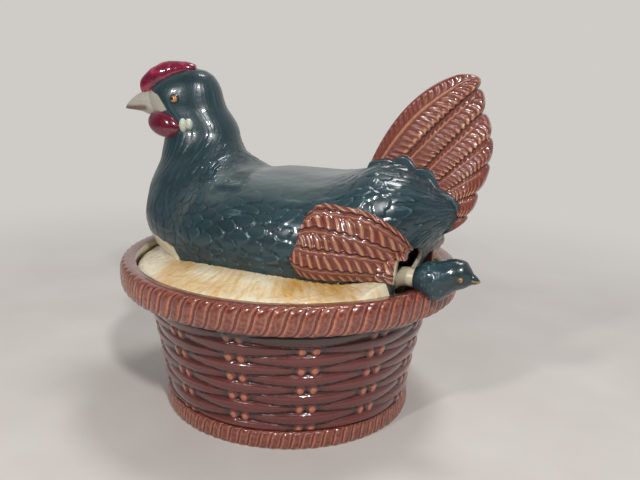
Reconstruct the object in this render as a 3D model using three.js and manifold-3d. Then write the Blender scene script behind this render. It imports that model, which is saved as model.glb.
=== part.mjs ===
// Hen on nest soup tureen: a basket-shaped bowl, a lid shaped as a nesting hen, and a ladle.
// Millimetres, +Z up. The origin is the centre of the flat dry base, on the table.
// -X is the hen's head end, +X her tail and the ladle, -Y her left side.
import * as THREE from 'three'
import { mergeVertices } from 'three/addons/utils/BufferGeometryUtils.js'
import Module from 'manifold-3d'

const wasm = await Module()
wasm.setup()

// Gaps and overruns
const seam = 0.3
const lidClearance = 1.2
const cutOverrun = 30
const mergeDistance = 0.0001

// How many flat sides each kind of round surface gets
const segments = {
  basket: 52, rim: 96, cup: 28, well: 18, arch: 8, lobe: 14, bead: 12, eyelet: 8, tube: 10,
}

// The basket wall: a spiral weft woven round pairs of upright stakes
const basket = {
  baseRadius: 104.5,
  topRadius: 121,
  flare: 1.3,
  weaveTop: 104,
  wall: 7,
  floor: 8,
  stakes: 13,
  weftPitch: 8.6,
  weftRelief: 3.2,
  stakeRelief: 2.6,
  stakeWidth: 18,
  grooveDepth: 0.9,
  floorRounding: 24,
}

// Where the hollow's profile is sampled, along its floor's curve and up its wall
const hollow_shares = [0, 0.35, 0.7, 1]

// The twisted rope rim, with a plain inner face above the lid's ledge; its widths run outwards
// from the top of the wall
const rim = {
  shoulderWidth: 14.5,
  ropeWidth: 9.5,
  bandWidth: 3.7,
  top: 130,
  bottom: 107.5,
  ledge: 117.5,
  ridges: 80,
  ridgeRelief: 2.4,
  ridgeLean: 17,
  arcPoints: 5,
  arc_share: 0.3,
  bandDrop: 0.45,
}
const seatRadius = basket.topRadius + rim.shoulderWidth
const rimRadius = seatRadius + rim.ropeWidth
const bandRadius = seatRadius - rim.bandWidth

// Powers that shape a twisted rope's section
const rope = { bulge: 0.5, shoulder: 0.9, fade: 0.7 }

// The twisted rope foot
const foot = {
  outerRadius: 107.5,
  innerRadius: 100,
  height: 15,
  ridges: 80,
  ridgeRelief: 2,
  ridgeLean: 8,
  arcPoints: 4,
  arc_share: 0.5,
}

// The straw flange that carries the hen, and its locating ring
const nest = {
  edgeHeight: 3.4,
  shoulderWidth: 5,
  shoulderRise: 3.4,
  slope: 0.34,
  crownHeight: 137,
  ringHeight: 9,
  ringThickness: 6,
  strawCount: 40,
  strawRelief: 1.2,
  strawLean: 15,
}

// The hen's body: ovals hung from a rail that runs over her back, turns round her nape and climbs
// her neck. Her head turns about an upright pivot line towards her left.
const body = {
  rumpX: 147,
  napeX: -40,
  railHeight: 230,
  neckHeight: 54,
  depth: 128,
  halfWidth: 89,
  wall: 6,
  taper: 12,
  fullness: 0.87,
  crowding: 0.3,
  sides: 24,
  pivotX: -95,
  turn: 20,
  roomStart: 2,
  roomEnd: 18,
}

// Stations along the rail: share of the way from rump to nape, share of a quarter turn, share of
// the neck's height, then shares of the body's depth to the oval's near and far end, a share of
// its half-width, the power that shifts its widest place, and a share of the head's turn
const body_station_shares = [
  [0, 0, 0, 0.348, 0.355, 0.006, 1, 0],
  [0.006, 0, 0, 0.32, 0.391, 0.079, 1, 0],
  [0.032, 0, 0, 0.273, 0.445, 0.202, 1, 0],
  [0.08, 0, 0, 0.227, 0.531, 0.348, 1, 0],
  [0.134, 0, 0, 0.156, 0.68, 0.483, 1, 0],
  [0.198, 0, 0, 0.102, 0.859, 0.618, 1, 0],
  [0.31, 0, 0, 0.078, 0.969, 0.764, 1, 0],
  [0.449, 0, 0, 0.16, 1, 0.899, 1.02, 0],
  [0.626, 0, 0, 0.197, 1, 0.989, 1.03, 0],
  [0.845, 0, 0, 0.203, 1, 1, 1.03, 0],
  [1, 0, 0, 0.227, 1, 0.955, 1, 0],
  [1, 0.167, 0, 0.207, 1.023, 0.899, 0.97, 0.04],
  [1, 0.333, 0, 0.176, 1.07, 0.831, 0.86, 0.15],
  [1, 0.5, 0, 0.156, 1.102, 0.742, 0.74, 0.32],
  [1, 0.667, 0, 0.148, 0.953, 0.584, 0.82, 0.58],
  [1, 0.833, 0, 0.147, 0.758, 0.404, 0.92, 0.86],
  [1, 1, 0, 0.151, 0.688, 0.315, 1, 1],
  [1, 1, 0.13, 0.169, 0.691, 0.292, 1, 1],
  [1, 1, 0.259, 0.203, 0.719, 0.275, 1, 1],
  [1, 1, 0.389, 0.239, 0.762, 0.261, 1, 1],
  [1, 1, 0.519, 0.259, 0.777, 0.252, 1, 1],
  [1, 1, 0.648, 0.273, 0.758, 0.236, 1, 1],
  [1, 1, 0.778, 0.297, 0.703, 0.208, 1, 1],
  [1, 1, 0.889, 0.332, 0.617, 0.163, 1, 1],
  [1, 1, 0.963, 0.383, 0.531, 0.101, 1, 1],
  [1, 1, 0.993, 0.445, 0.453, 0.006, 1, 1],
]

// Small parts of the head: distance ahead of the pivot line and drop below the crown
const comb = {
  front: 46, back: 8, frontDrop: 15, backDrop: -2, radius: 8.6, halfWidth: 8.6, knobs: 5,
  knob_share: 0.06, arch_share: 0.3, lean_share: 0.35, end_share: 0.06, fullness: 0.45,
}
const beak = {
  baseReach: 38, tipReach: 66.5, baseDrop: 31, tipDrop: 36.6, halfHeight: 10.5, halfWidth: 10, hook: 1.5,
}
const beak_shares = [[0, 1, 1], [0.3, 0.86, 0.76], [0.6, 0.6, 0.5], [0.86, 0.3, 0.26], [1, 0.06, 0.06]]
const wattle = { halfHeight: 7.9, halfThickness: 6.2, side: 15, splay: 2.5 }
const eye = { reach: 17.5, drop: 25.5, radius: 4.6, side: 20 }
const earlobe = { reach: 4.6, drop: 50.5, halfLength: 5.6, halfDrop: 6.6, halfThickness: 4.2, side: 24 }

// The wattle's middle line from the beak back: reach ahead, drop below the crown, share of its
// half-height
const wattle_path_shares = [
  [0.624, 0.762, 0.5],
  [0.615, 0.857, 0.8],
  [0.54, 0.951, 1.0],
  [0.43, 0.998, 1.0],
  [0.335, 0.975, 0.8],
  [0.285, 0.925, 0.46],
]

// The folded wings: long feathers that lap downwards over each other on the flank
const wing = {
  frontX: 41,
  length: 82,
  bottomHeight: 134,
  height: 59,
  thickness: 3.1,
  lap: 2.3,
  sunk: 4,
  rows: 12,
  edge_share: 0.1,
  side_share: 0.42,
}

// Lines between the wing's feathers from front to tip, upper line first: shares of its length
// and height
const wing_line_shares = [
  [[0.11, 0.797], [0.256, 0.992], [0.524, 0.983], [0.756, 0.873], [0.927, 0.669], [1, 0.441]],
  [[0.085, 0.746], [0.256, 0.907], [0.524, 0.898], [0.756, 0.788], [0.915, 0.602], [0.994, 0.415]],
  [[0.061, 0.644], [0.232, 0.712], [0.451, 0.678], [0.671, 0.593], [0.866, 0.475], [0.988, 0.381]],
  [[0.061, 0.508], [0.207, 0.475], [0.402, 0.458], [0.622, 0.415], [0.805, 0.347], [0.939, 0.28]],
  [[0, 0.322], [0.159, 0.246], [0.378, 0.22], [0.573, 0.203], [0.744, 0.178], [0.878, 0.144]],
  [[0.085, 0.102], [0.207, 0.008], [0.39, 0], [0.573, 0], [0.732, 0], [0.841, 0.008]],
]

// The upright tail fan
const tail = {
  rootX: 88,
  rootHeight: 192,
  reach: 115,
  rootHalfThickness: 9.4,
  edgeHalfThickness: 3.6,
  rim_share: 0.12,
  lap: 2.7,
  tipLength: 5.5,
  rows: 9,
}

// Lines between the tail's feathers, front line first, each by root, bend and end: shares of the
// reach along and up from the root
const tail_line_shares = [
  [[-0.157, 0.174], [0.035, 0.704], [0.417, 0.835]],
  [[-0.035, 0.087], [0.243, 0.47], [0.55, 0.748]],
  [[0.087, 0], [0.33, 0.33], [0.594, 0.595]],
  [[0.174, -0.052], [0.417, 0.209], [0.655, 0.443]],
  [[0.226, -0.07], [0.461, 0.113], [0.657, 0.272]],
  [[0.243, -0.087], [0.452, 0.009], [0.598, 0.072]],
  [[0.243, -0.122], [0.417, -0.096], [0.543, -0.087]],
  [[0.209, -0.226], [0.33, -0.243], [0.4, -0.23]],
]

// Places across one feather where its face is sampled, and how far its tip runs past its lines
const feather_shares = [0, 0.5, 0.96]
const tip_shares = [0, 1, 0.35]

// The ladle and its arched notch in the lid. Its stem's bends are placed from the nest's mouth.
const ladle = {
  y: -38,
  stemRadius: 7.6,
  bowlX: 16,
  bowlRadius: 36,
  bowlDepth: 30,
  bowlWall: 4,
  bowlFlat: 12,
  handleSides: 12,
  handleSteps: 12,
  riseInset: 26,
  riseHeight: 85,
  bendInset: 6,
  straightReach: 20,
  neckReach: 25,
  headLength: 49,
  chickHalfHeight: 15,
  chickHalfWidth: 11.5,
  beakLength: 6,
  eyeRadius: 1.9,
  rockAngle: 3,
  rockSteps: 3,
}
const notch = { halfWidth: 19, jambHeight: 141, top: 158, innerX: 72, outerX: 150 }

// Chick's head from neck to beak: share of its length, then rise, half-height and half-width shares
const chick_shares = [
  [0.0, 0.0, 0.58, 0.8],
  [0.18, 0.09, 0.83, 0.95],
  [0.34, 0.03, 0.98, 1.0],
  [0.46, 0.07, 1.02, 1.0],
  [0.62, 0.33, 0.92, 0.98],
  [0.74, 0.48, 0.79, 0.92],
  [0.86, 0.53, 0.7, 0.78],
  [0.93, 0.5, 0.52, 0.6],
  [1.0, 0.42, 0.3, 0.35],
]
const cup_shares = [0.25, 0.5, 0.75, 1]
const beak_tip_shares = [1.0, 0.32, 0.05, 0.05]
const chick_eye_shares = [0.84, 0.42, 0.74]

// Finishes: colour, roughness
const finish = {
  basket: { color: 0x7d4137, roughness: 0.25 },
  straw: { color: 0xd9c384, roughness: 0.3 },
  feathers: { color: 0x2d4b55, roughness: 0.2 },
  russet: { color: 0x965a4b, roughness: 0.25 },
  crimson: { color: 0x821432, roughness: 0.15 },
  beak: { color: 0xb9b4a5, roughness: 0.3 },
  eye: { color: 0xc89b69, roughness: 0.2 },
  lobe: { color: 0xc8cdb9, roughness: 0.3 },
  cream: { color: 0xe1d7c3, roughness: 0.25 },
}

const fullTurn = Math.PI * 2
const radians = THREE.MathUtils.degToRad
const mix = THREE.MathUtils.lerp
const signedPower = (value, power) => Math.sign(value) * Math.abs(value) ** power

// Surfaces and solids

/** Joins grid rows into triangles; a closed direction wraps round. Flat triangles are dropped later. */
function gridTriangles(rowCount, columnCount, closedRows, closedColumns) {
  const triangles = []
  const lastRow = closedRows ? rowCount : rowCount - 1
  const lastColumn = closedColumns ? columnCount : columnCount - 1
  for (let row = 0; row < lastRow; row += 1) {
    for (let column = 0; column < lastColumn; column += 1) {
      const nextRow = (row + 1) % rowCount
      const nextColumn = (column + 1) % columnCount
      const a = row * columnCount + column
      const b = row * columnCount + nextColumn
      const c = nextRow * columnCount + nextColumn
      const d = nextRow * columnCount + column
      triangles.push(a, b, c, a, c, d)
    }
  }
  return triangles
}

/** Builds a geometry from points and triangles. */
function meshOf(points, triangles) {
  const geometry = new THREE.BufferGeometry()
  geometry.setFromPoints(points)
  geometry.setIndex(triangles)
  return geometry
}

/** Turns a closed geometry into a solid, with its faces outwards. */
function solid(geometry) {
  const bare = geometry.clone()
  bare.deleteAttribute('normal')
  bare.deleteAttribute('uv')
  const merged = mergeVertices(bare, mergeDistance)
  const source = merged.index.array
  const kept = []
  for (let i = 0; i < source.length; i += 3) {
    const [a, b, c] = [source[i], source[i + 1], source[i + 2]]
    if (a !== b && b !== c && a !== c) kept.push(a, b, c)
  }
  const vertices = merged.attributes.position.array
  let volume = 0
  const [p, q, r] = [new THREE.Vector3(), new THREE.Vector3(), new THREE.Vector3()]
  for (let i = 0; i < kept.length; i += 3) {
    p.fromArray(vertices, kept[i] * 3)
    q.fromArray(vertices, kept[i + 1] * 3)
    r.fromArray(vertices, kept[i + 2] * 3)
    volume += p.dot(q.cross(r))
  }
  const triVerts = new Uint32Array(volume < 0 ? kept.reverse() : kept)
  const mesh = new wasm.Mesh({ numProp: 3, vertProperties: new Float32Array(vertices), triVerts })
  return new wasm.Manifold(mesh)
}

/** Turns a solid back into a named mesh with its finish. */
function part(name, body, look) {
  const { vertProperties, triVerts } = body.getMesh()
  const geometry = new THREE.BufferGeometry()
  geometry.setAttribute('position', new THREE.BufferAttribute(new Float32Array(vertProperties), 3))
  geometry.setIndex(new THREE.BufferAttribute(new Uint32Array(triVerts), 1))
  geometry.computeVertexNormals()
  const material = new THREE.MeshStandardMaterial({ ...look, metalness: 0 })
  const mesh = new THREE.Mesh(geometry, material)
  mesh.name = name
  return mesh
}

/** A solid through a row of closed sections with equal point counts, capped flat at both ends. */
function loft(sections) {
  const columnCount = sections[0].length
  const points = sections.flat()
  const triangles = gridTriangles(sections.length, columnCount, false, true)
  for (const [row, order] of [[0, 1], [sections.length - 1, -1]]) {
    const centre = points.length
    const middle = new THREE.Vector3()
    for (const point of sections[row]) middle.addScaledVector(point, 1 / columnCount)
    points.push(middle)
    for (let column = 0; column < columnCount; column += 1) {
      const a = row * columnCount + column
      const b = row * columnCount + (column + 1) % columnCount
      if (order > 0) triangles.push(centre, b, a)
      else triangles.push(centre, a, b)
    }
  }
  return solid(meshOf(points, triangles))
}

/** A solid of revolution about Z; the profile is a list of [radius, height] that ends on the axis. */
function turned(profile, segments) {
  const outline = profile.map(([radius, height]) => new THREE.Vector2(radius, height))
  return solid(new THREE.LatheGeometry(outline, segments).rotateX(Math.PI / 2))
}

/** An ellipsoid placed with a matrix. */
function ellipsoid(radii, segments, placing) {
  const sphere = new THREE.SphereGeometry(1, segments, Math.round(segments / 2))
  return solid(sphere.scale(...radii).applyMatrix4(placing))
}

/** The same solid on the other side of the hen's middle plane. */
function mirrored(body) {
  return body.mirror([0, 1, 0])
}

// The basket

/** Outside radius of the plain wall at a height. */
function wallRadius(height) {
  const share = THREE.MathUtils.clamp((height - foot.height) / (basket.weaveTop - foot.height), 0, 1)
  return mix(basket.baseRadius, basket.topRadius, share ** basket.flare)
}

/** How far the weave stands out of the wall at a place in stakes round it, on weft number `row`. */
function weaveRelief(stakesRound, row) {
  const nearest = Math.round(stakesRound)
  const over = Math.cos((stakesRound + row) * Math.PI)
  const weft = basket.weftRelief * (0.5 + 0.5 * over)
  const behind = Math.abs((nearest + row) % 2) === 1
  if (!behind) return weft
  const stakeSpacing = fullTurn * basket.baseRadius / basket.stakes
  const across = Math.abs(stakesRound - nearest) * stakeSpacing / (basket.stakeWidth / 2)
  if (across >= 1) return weft
  const pair = basket.stakeRelief - basket.grooveDepth * Math.abs(1 - 2 * across)
  return Math.max(weft, pair)
}

/** The woven wall with its flat base and shoulder, before the inside is hollowed. */
function basketOutside() {
  const stakeSpacing = fullTurn * basket.baseRadius / basket.stakes
  const edge_share = basket.stakeWidth / 2 / stakeSpacing
  const column_shares = [0, edge_share / 2, edge_share, 0.5, 1 - edge_share, 1 - edge_share / 2]
  const wallBottom = foot.height + seam
  const wallHeight = basket.weaveTop - wallBottom
  const halfPitch = basket.weftPitch / 2
  const rowLines = 2 * (Math.ceil(wallHeight / basket.weftPitch) + 1)
  const points = []
  const columns = basket.stakes * column_shares.length + 1
  for (let column = 0; column < columns; column += 1) {
    const stake = Math.floor(column / column_shares.length)
    const stakesRound = stake + column_shares[column % column_shares.length]
    const angle = stakesRound / basket.stakes * fullTurn
    const place = (radius, height) => {
      points.push(new THREE.Vector3(radius * Math.cos(angle), radius * Math.sin(angle), height))
    }
    place(0, 0)
    place(foot.innerRadius - seam, 0)
    place(foot.innerRadius - seam, wallBottom)
    for (let line = 0; line <= rowLines; line += 1) {
      const climb = (line / 2 + stakesRound / basket.stakes - 1) * basket.weftPitch
      const rise = THREE.MathUtils.clamp(climb, 0, wallHeight)
      const fade = Math.min(1, rise / halfPitch, (wallHeight - rise) / halfPitch)
      const crest = line % 2 === 1 ? weaveRelief(stakesRound, (line - 1) / 2) : 0
      place(wallRadius(wallBottom + rise) + fade * crest, wallBottom + rise)
    }
    place(seatRadius - seam, rim.bottom - seam)
    place(seatRadius - seam, rim.ledge)
    place(0, rim.ledge)
  }
  return solid(meshOf(points, gridTriangles(columns, points.length / columns, false, false)))
}

/** The hollow of the bowl, open at the top. */
function basketHollow() {
  const profile = [[0, basket.floor]]
  const bottomRadius = wallRadius(foot.height) - basket.wall
  for (const share of hollow_shares) {
    const angle = share * Math.PI / 2
    const radius = bottomRadius - basket.floorRounding * (1 - Math.sin(angle))
    profile.push([radius, basket.floor + basket.floorRounding * (1 - Math.cos(angle))])
  }
  for (const share of hollow_shares.slice(1)) {
    const height = mix(basket.floor + basket.floorRounding, basket.weaveTop, share)
    profile.push([wallRadius(height) - basket.wall, height])
  }
  const mouth = nestRing().outer + lidClearance
  profile.push([mouth, rim.ledge - nest.ringHeight - lidClearance])
  profile.push([mouth, rim.ledge + cutOverrun])
  profile.push([0, rim.ledge + cutOverrun])
  return turned(profile, segments.basket)
}

/** A twisted rope: a section carried round the axis, with leaning ridges where its weight is above 0. */
function twistedRope(section, ridges, relief, lean) {
  const rows = []
  const count = ridges * 2
  for (let step = 0; step < count; step += 1) {
    const crest = step % 2
    const row = section.map(({ radius, height, weight, travel }) => {
      const out = radius + relief * weight * (crest - 1)
      const angle = step / count * fullTurn + travel * lean / radius
      return new THREE.Vector3(out * Math.cos(angle), out * Math.sin(angle), height)
    })
    rows.push(row)
  }
  const columnCount = section.length
  return solid(meshOf(rows.flat(), gridTriangles(count, columnCount, true, true)))
}

/** Outer points of a rope's section, from its lower to its upper edge, on a flattened half circle. */
function ropeArc(innerRadius, outerRadius, bottom, top, count) {
  const points = []
  for (let i = 0; i < count; i += 1) {
    const share = i / (count - 1)
    const angle = (share - 0.5) * Math.PI
    const radius = innerRadius + (outerRadius - innerRadius) * Math.abs(Math.cos(angle)) ** rope.bulge
    const height = mix(bottom, top, 0.5 + 0.5 * signedPower(Math.sin(angle), rope.shoulder))
    points.push({ radius, height, weight: Math.abs(Math.cos(angle)) ** rope.fade, travel: share })
  }
  return points
}

/** The rope rim with its plain inner band, stepped to sit over the bowl's shoulder. */
function rimRope() {
  const arcStart = mix(seatRadius, rimRadius, rim.arc_share)
  const arc = ropeArc(arcStart, rimRadius, rim.bottom, rim.top, rim.arcPoints)
  const bandTop = rim.top - rim.bandDrop
  const inside = [
    { radius: bandRadius, height: bandTop, weight: 0, travel: 1 },
    { radius: bandRadius, height: rim.ledge + seam, weight: 0, travel: 0.5 },
    { radius: seatRadius, height: rim.ledge + seam, weight: 0, travel: 0.5 },
    { radius: seatRadius, height: rim.bottom, weight: 0, travel: 0 },
  ]
  return twistedRope([...arc, ...inside], rim.ridges, rim.ridgeRelief, rim.ridgeLean)
}

/** The rope foot, flat underneath. */
function footRope() {
  const arcStart = mix(foot.innerRadius, foot.outerRadius, foot.arc_share)
  const arc = ropeArc(arcStart, foot.outerRadius, 0, foot.height, foot.arcPoints)
  const inside = [
    { radius: foot.innerRadius, height: foot.height, weight: 0, travel: 1 },
    { radius: foot.innerRadius, height: 0, weight: 0, travel: 0 },
  ]
  return twistedRope([...arc, ...inside], foot.ridges, foot.ridgeRelief, foot.ridgeLean)
}

// The hen lid

/** The locating ring's radii, set in from the bowl's mouth. */
function nestRing() {
  const outer = wallRadius(basket.weaveTop) - basket.wall
  return { outer, inner: outer - nest.ringThickness }
}

/** The flange's radii and the height of its edge. */
function nestEdge() {
  const radius = bandRadius - lidClearance
  const bottom = rim.ledge + seam
  return { radius, bottom, top: bottom + nest.edgeHeight }
}

/** Outline of the straw's upper face from its edge inwards, as [radius, height]. */
function strawProfile(raise) {
  const edge = nestEdge()
  const shoulderRadius = edge.radius - nest.shoulderWidth
  const shoulderTop = edge.top + nest.shoulderRise
  const crownRadius = shoulderRadius - (nest.crownHeight - shoulderTop) / nest.slope
  return [
    [edge.radius, edge.top + raise],
    [shoulderRadius, shoulderTop + raise],
    [crownRadius, nest.crownHeight + raise],
  ]
}

/** The straw flange with its ring and leaning bundles, before it is hollowed and notched. */
function strawMound() {
  const edge = nestEdge()
  const ring = nestRing()
  const [rimEdge, shoulder, crown] = strawProfile(0)
  const count = nest.strawCount * 2
  const rows = []
  for (let step = 0; step < count; step += 1) {
    const straw = (step % 2) * nest.strawRelief
    const at = (radius, height, lean = 0) => {
      const angle = step / count * fullTurn + lean / crown[0]
      return new THREE.Vector3(radius * Math.cos(angle), radius * Math.sin(angle), height)
    }
    rows.push([
      at(0, edge.bottom - nest.ringHeight),
      at(ring.outer, edge.bottom - nest.ringHeight),
      at(ring.outer, edge.bottom),
      at(edge.radius, edge.bottom),
      at(rimEdge[0], rimEdge[1] - straw),
      at(shoulder[0], shoulder[1] - straw),
      at(crown[0], crown[1], nest.strawLean),
      at(0, crown[1]),
    ])
  }
  return solid(meshOf(rows.flat(), gridTriangles(count, rows[0].length, true, false)))
}

/** The ring's own bore, under the flange. */
function ringBore() {
  const edge = nestEdge()
  const ring = nestRing()
  const low = edge.bottom - nest.ringHeight - cutOverrun
  return turned([[0, low], [ring.inner, low], [ring.inner, edge.bottom], [0, edge.bottom]], segments.basket)
}

/** Everything below the straw's face and the rim, raised by a seam: it trims what sits on the straw. */
function belowTheStraw() {
  const [rimEdge, shoulder, crown] = strawProfile(seam)
  const outside = rimRadius + cutOverrun
  const overRim = rim.top + lidClearance
  return turned([
    [0, -cutOverrun],
    [outside, -cutOverrun],
    [outside, overRim],
    [rimEdge[0], overRim],
    [shoulder[0], shoulder[1]],
    [crown[0], crown[1]],
    [0, crown[1]],
  ], segments.basket)
}

/** Reads a table of stations at a place, on straight lines between them. */
function readTable(table, place) {
  const last = table.length - 1
  const next = Math.min(last, Math.max(1, table.findIndex(([station]) => station >= place)))
  const [before, after] = [table[next - 1], table[next]]
  const share = (place - before[0]) / (after[0] - before[0])
  return before.map((value, column) => mix(value, after[column], share))
}

/** A point of the head's own frame: ahead of the pivot line, to her left, and up. */
function headPoint(ahead, left, height, turn_share = 1) {
  const turn = radians(body.turn * turn_share)
  const x = body.pivotX - ahead * Math.cos(turn) + left * Math.sin(turn)
  const y = -ahead * Math.sin(turn) - left * Math.cos(turn)
  return new THREE.Vector3(x, y, height)
}

/** Height of the hen's crown less a drop. */
function belowCrown(drop) {
  return body.railHeight + body.neckHeight - drop
}

/** One oval of the body, grown outwards or shrunk inwards all round. */
function bodySection([along, quarter, climb, near, far, wide, skew, turn_share], grow) {
  const railX = mix(body.rumpX, body.napeX, along)
  const railHeight = body.railHeight + climb * body.neckHeight
  const tilt = quarter * Math.PI / 2
  const growth = grow * Math.min(1, wide * body.halfWidth / body.taper)
  const section = []
  for (let side = 0; side < body.sides; side += 1) {
    const step = side / body.sides * fullTurn
    const angle = step - body.crowding * Math.sin(step)
    const across = signedPower(Math.sin(angle), body.fullness)
    const downwards = (0.5 - 0.5 * signedPower(Math.cos(angle), body.fullness)) ** skew
    const reach = mix(near * body.depth - growth, far * body.depth + growth, downwards)
    const left = (wide * body.halfWidth + growth) * across
    const ahead = body.pivotX - railX + reach * Math.sin(tilt)
    section.push(headPoint(ahead, left, railHeight - reach * Math.cos(tilt), turn_share))
  }
  return section
}

/** The hen's outside, grown by a gap. */
function henOutside(grow) {
  return loft(body_station_shares.map((shares) => bodySection(shares, grow)))
}

/** The room inside the hen, open through the flange underneath. */
function henHollow() {
  const stations = body_station_shares.slice(body.roomStart, body.roomEnd)
  const room = loft(stations.map((shares) => bodySection(shares, -body.wall)))
  const mouth = new THREE.Shape()
  const reach = nestRing().inner - body.wall
  mouth.absellipse(0, 0, reach, body.halfWidth - 2 * body.wall, 0, fullTurn)
  const options = {
    depth: nest.crownHeight + body.wall,
    bevelEnabled: false,
    curveSegments: segments.well,
  }
  return room.add(solid(new THREE.ExtrudeGeometry(mouth, options)))
}

/** The arched notch that lets the ladle's stem out. */
function notchCut() {
  const arch = new THREE.Shape()
  const left = ladle.y - notch.halfWidth
  arch.moveTo(left, -cutOverrun)
  arch.lineTo(left + 2 * notch.halfWidth, -cutOverrun)
  arch.lineTo(left + 2 * notch.halfWidth, notch.jambHeight)
  arch.absellipse(ladle.y, notch.jambHeight, notch.halfWidth, notch.top - notch.jambHeight, 0, Math.PI)
  arch.lineTo(left, -cutOverrun)
  const options = {
    depth: notch.outerX - notch.innerX,
    bevelEnabled: false,
    curveSegments: segments.arch,
  }
  const block = new THREE.ExtrudeGeometry(arch, options)
  const upright = new THREE.Matrix4().makeBasis(
    new THREE.Vector3(0, 1, 0),
    new THREE.Vector3(0, 0, 1),
    new THREE.Vector3(1, 0, 0),
  )
  return solid(block.applyMatrix4(upright.setPosition(notch.innerX, 0, 0)))
}

/** Distance of the body's side from the middle plane at a length and height on her trunk. */
function flank(x, height) {
  const along = (body.rumpX - x) / (body.rumpX - body.napeX)
  const [, , , near, far, wide, skew] = readTable(body_station_shares, along)
  const down = (body.railHeight - height) / body.depth
  const share = THREE.MathUtils.clamp((down - near) / (far - near), 0, 1) ** (1 / skew)
  const cosine = Math.abs(1 - 2 * share) ** (1 / body.fullness)
  return wide * body.halfWidth * (1 - cosine ** 2) ** (body.fullness / 2)
}

/** Places across a row of feathers: a feather rises to its far edge, then steps to the next. */
function featherColumns(count) {
  const columns = []
  for (let number = 0; number < count; number += 1) {
    for (const [index, within] of feather_shares.entries()) columns.push({ number, within, index })
  }
  columns.push({ number: count - 1, within: 1, index: 0 })
  return columns
}

/** A point between two feather lines, each a list of points, at a share along them. */
function betweenLines(lines, { number, within }, share) {
  const ends = [lines[number], lines[number + 1]].map((line) => {
    const place = share * (line.length - 1)
    const start = Math.min(Math.floor(place), line.length - 2)
    return line[start].map((value, axis) => mix(value, line[start + 1][axis], place - start))
  })
  return ends[0].map((value, axis) => mix(value, ends[1][axis], within))
}

/** The left wing: lapping feathers laid on the flank, with their edges sunk into it. */
function wingSolid(skin) {
  const columns = featherColumns(wing_line_shares.length - 1)
  const faces = [[], []]
  for (let row = 0; row <= wing.rows; row += 1) {
    const share = row / wing.rows
    for (const [index, column] of columns.entries()) {
      const [along, up] = betweenLines(wing_line_shares, column, share)
      const x = wing.frontX + along * wing.length
      const height = wing.bottomHeight + up * wing.height
      const side = Math.min(index, columns.length - 1 - index) / feather_shares.length / wing.side_share
      const end = Math.min(share, 1 - share) / wing.edge_share
      const inside = Math.min(1, side, end)
      const stand = mix(-wing.sunk, wing.thickness + column.within * wing.lap, inside)
      const y = flank(x, height)
      const outward = new THREE.Vector3(y - flank(x + 1, height), -1, y - flank(x, height + 1)).normalize()
      const base = new THREE.Vector3(x, -y, height)
      faces[0].push(base.clone().addScaledVector(outward, stand))
      faces[1].push(base.clone().addScaledVector(outward, -wing.sunk - 1))
    }
  }
  return stitched(faces, wing.rows + 1, columns.length).subtract(skin)
}

/** A place on the tail's face: on the curve through a feather's root, bend and end, and past it. */
function tailPlace(column, share) {
  const [root, bend, end] = [0, 0.5, 1].map((knot) => betweenLines(tail_line_shares, column, knot))
  const curve = new THREE.QuadraticBezierCurve(
    new THREE.Vector2(...root),
    new THREE.Vector2(...bend),
    new THREE.Vector2(...end),
  )
  const place = curve.getPoint(share).multiplyScalar(tail.reach)
  const tip = tail.tipLength * tip_shares[column.index] * Math.max(0, 2 * share - 1)
  return place.addScaledVector(curve.getTangent(1), tip)
}

/** The tail fan: two faces of lapping feathers with a scalloped edge between them. */
function tailSolid() {
  const columns = featherColumns(tail_line_shares.length - 1)
  const faces = [[], []]
  for (const [index, column] of columns.entries()) {
    const inward = Math.min(index, columns.length - 1 - index) / feather_shares.length
    for (let row = 0; row <= tail.rows; row += 1) {
      const share = row / tail.rows
      const half = mix(tail.rootHalfThickness, tail.edgeHalfThickness, share)
      const stand = half + column.within * tail.lap * Math.min(1, 2 * share)
      const thinned = stand * mix(tail.rim_share, 1, Math.min(1, inward * feather_shares.length))
      const place = tailPlace(column, share)
      const [x, z] = [tail.rootX + place.x, tail.rootHeight + place.y]
      faces[0].push(new THREE.Vector3(x, -thinned, z))
      faces[1].push(new THREE.Vector3(x, thinned, z))
    }
  }
  return stitched(faces, columns.length, tail.rows + 1)
}

/** Joins two facing grids of the same size into one closed solid round their edges. */
function stitched([front, back], rowCount, columnCount) {
  const points = [...front, ...back]
  const offset = front.length
  const face = gridTriangles(rowCount, columnCount, false, false)
  const triangles = [...face]
  for (let i = 0; i < face.length; i += 3) {
    triangles.push(face[i] + offset, face[i + 2] + offset, face[i + 1] + offset)
  }
  const border = []
  for (let column = 0; column < columnCount; column += 1) border.push(column)
  for (let row = 1; row < rowCount; row += 1) border.push(row * columnCount + columnCount - 1)
  for (let column = columnCount - 2; column >= 0; column -= 1) {
    border.push((rowCount - 1) * columnCount + column)
  }
  for (let row = rowCount - 2; row > 0; row -= 1) border.push(row * columnCount)
  for (let i = 0; i < border.length; i += 1) {
    const a = border[i]
    const b = border[(i + 1) % border.length]
    triangles.push(a, a + offset, b + offset, a, b + offset, b)
  }
  return solid(meshOf(points, triangles))
}

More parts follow.
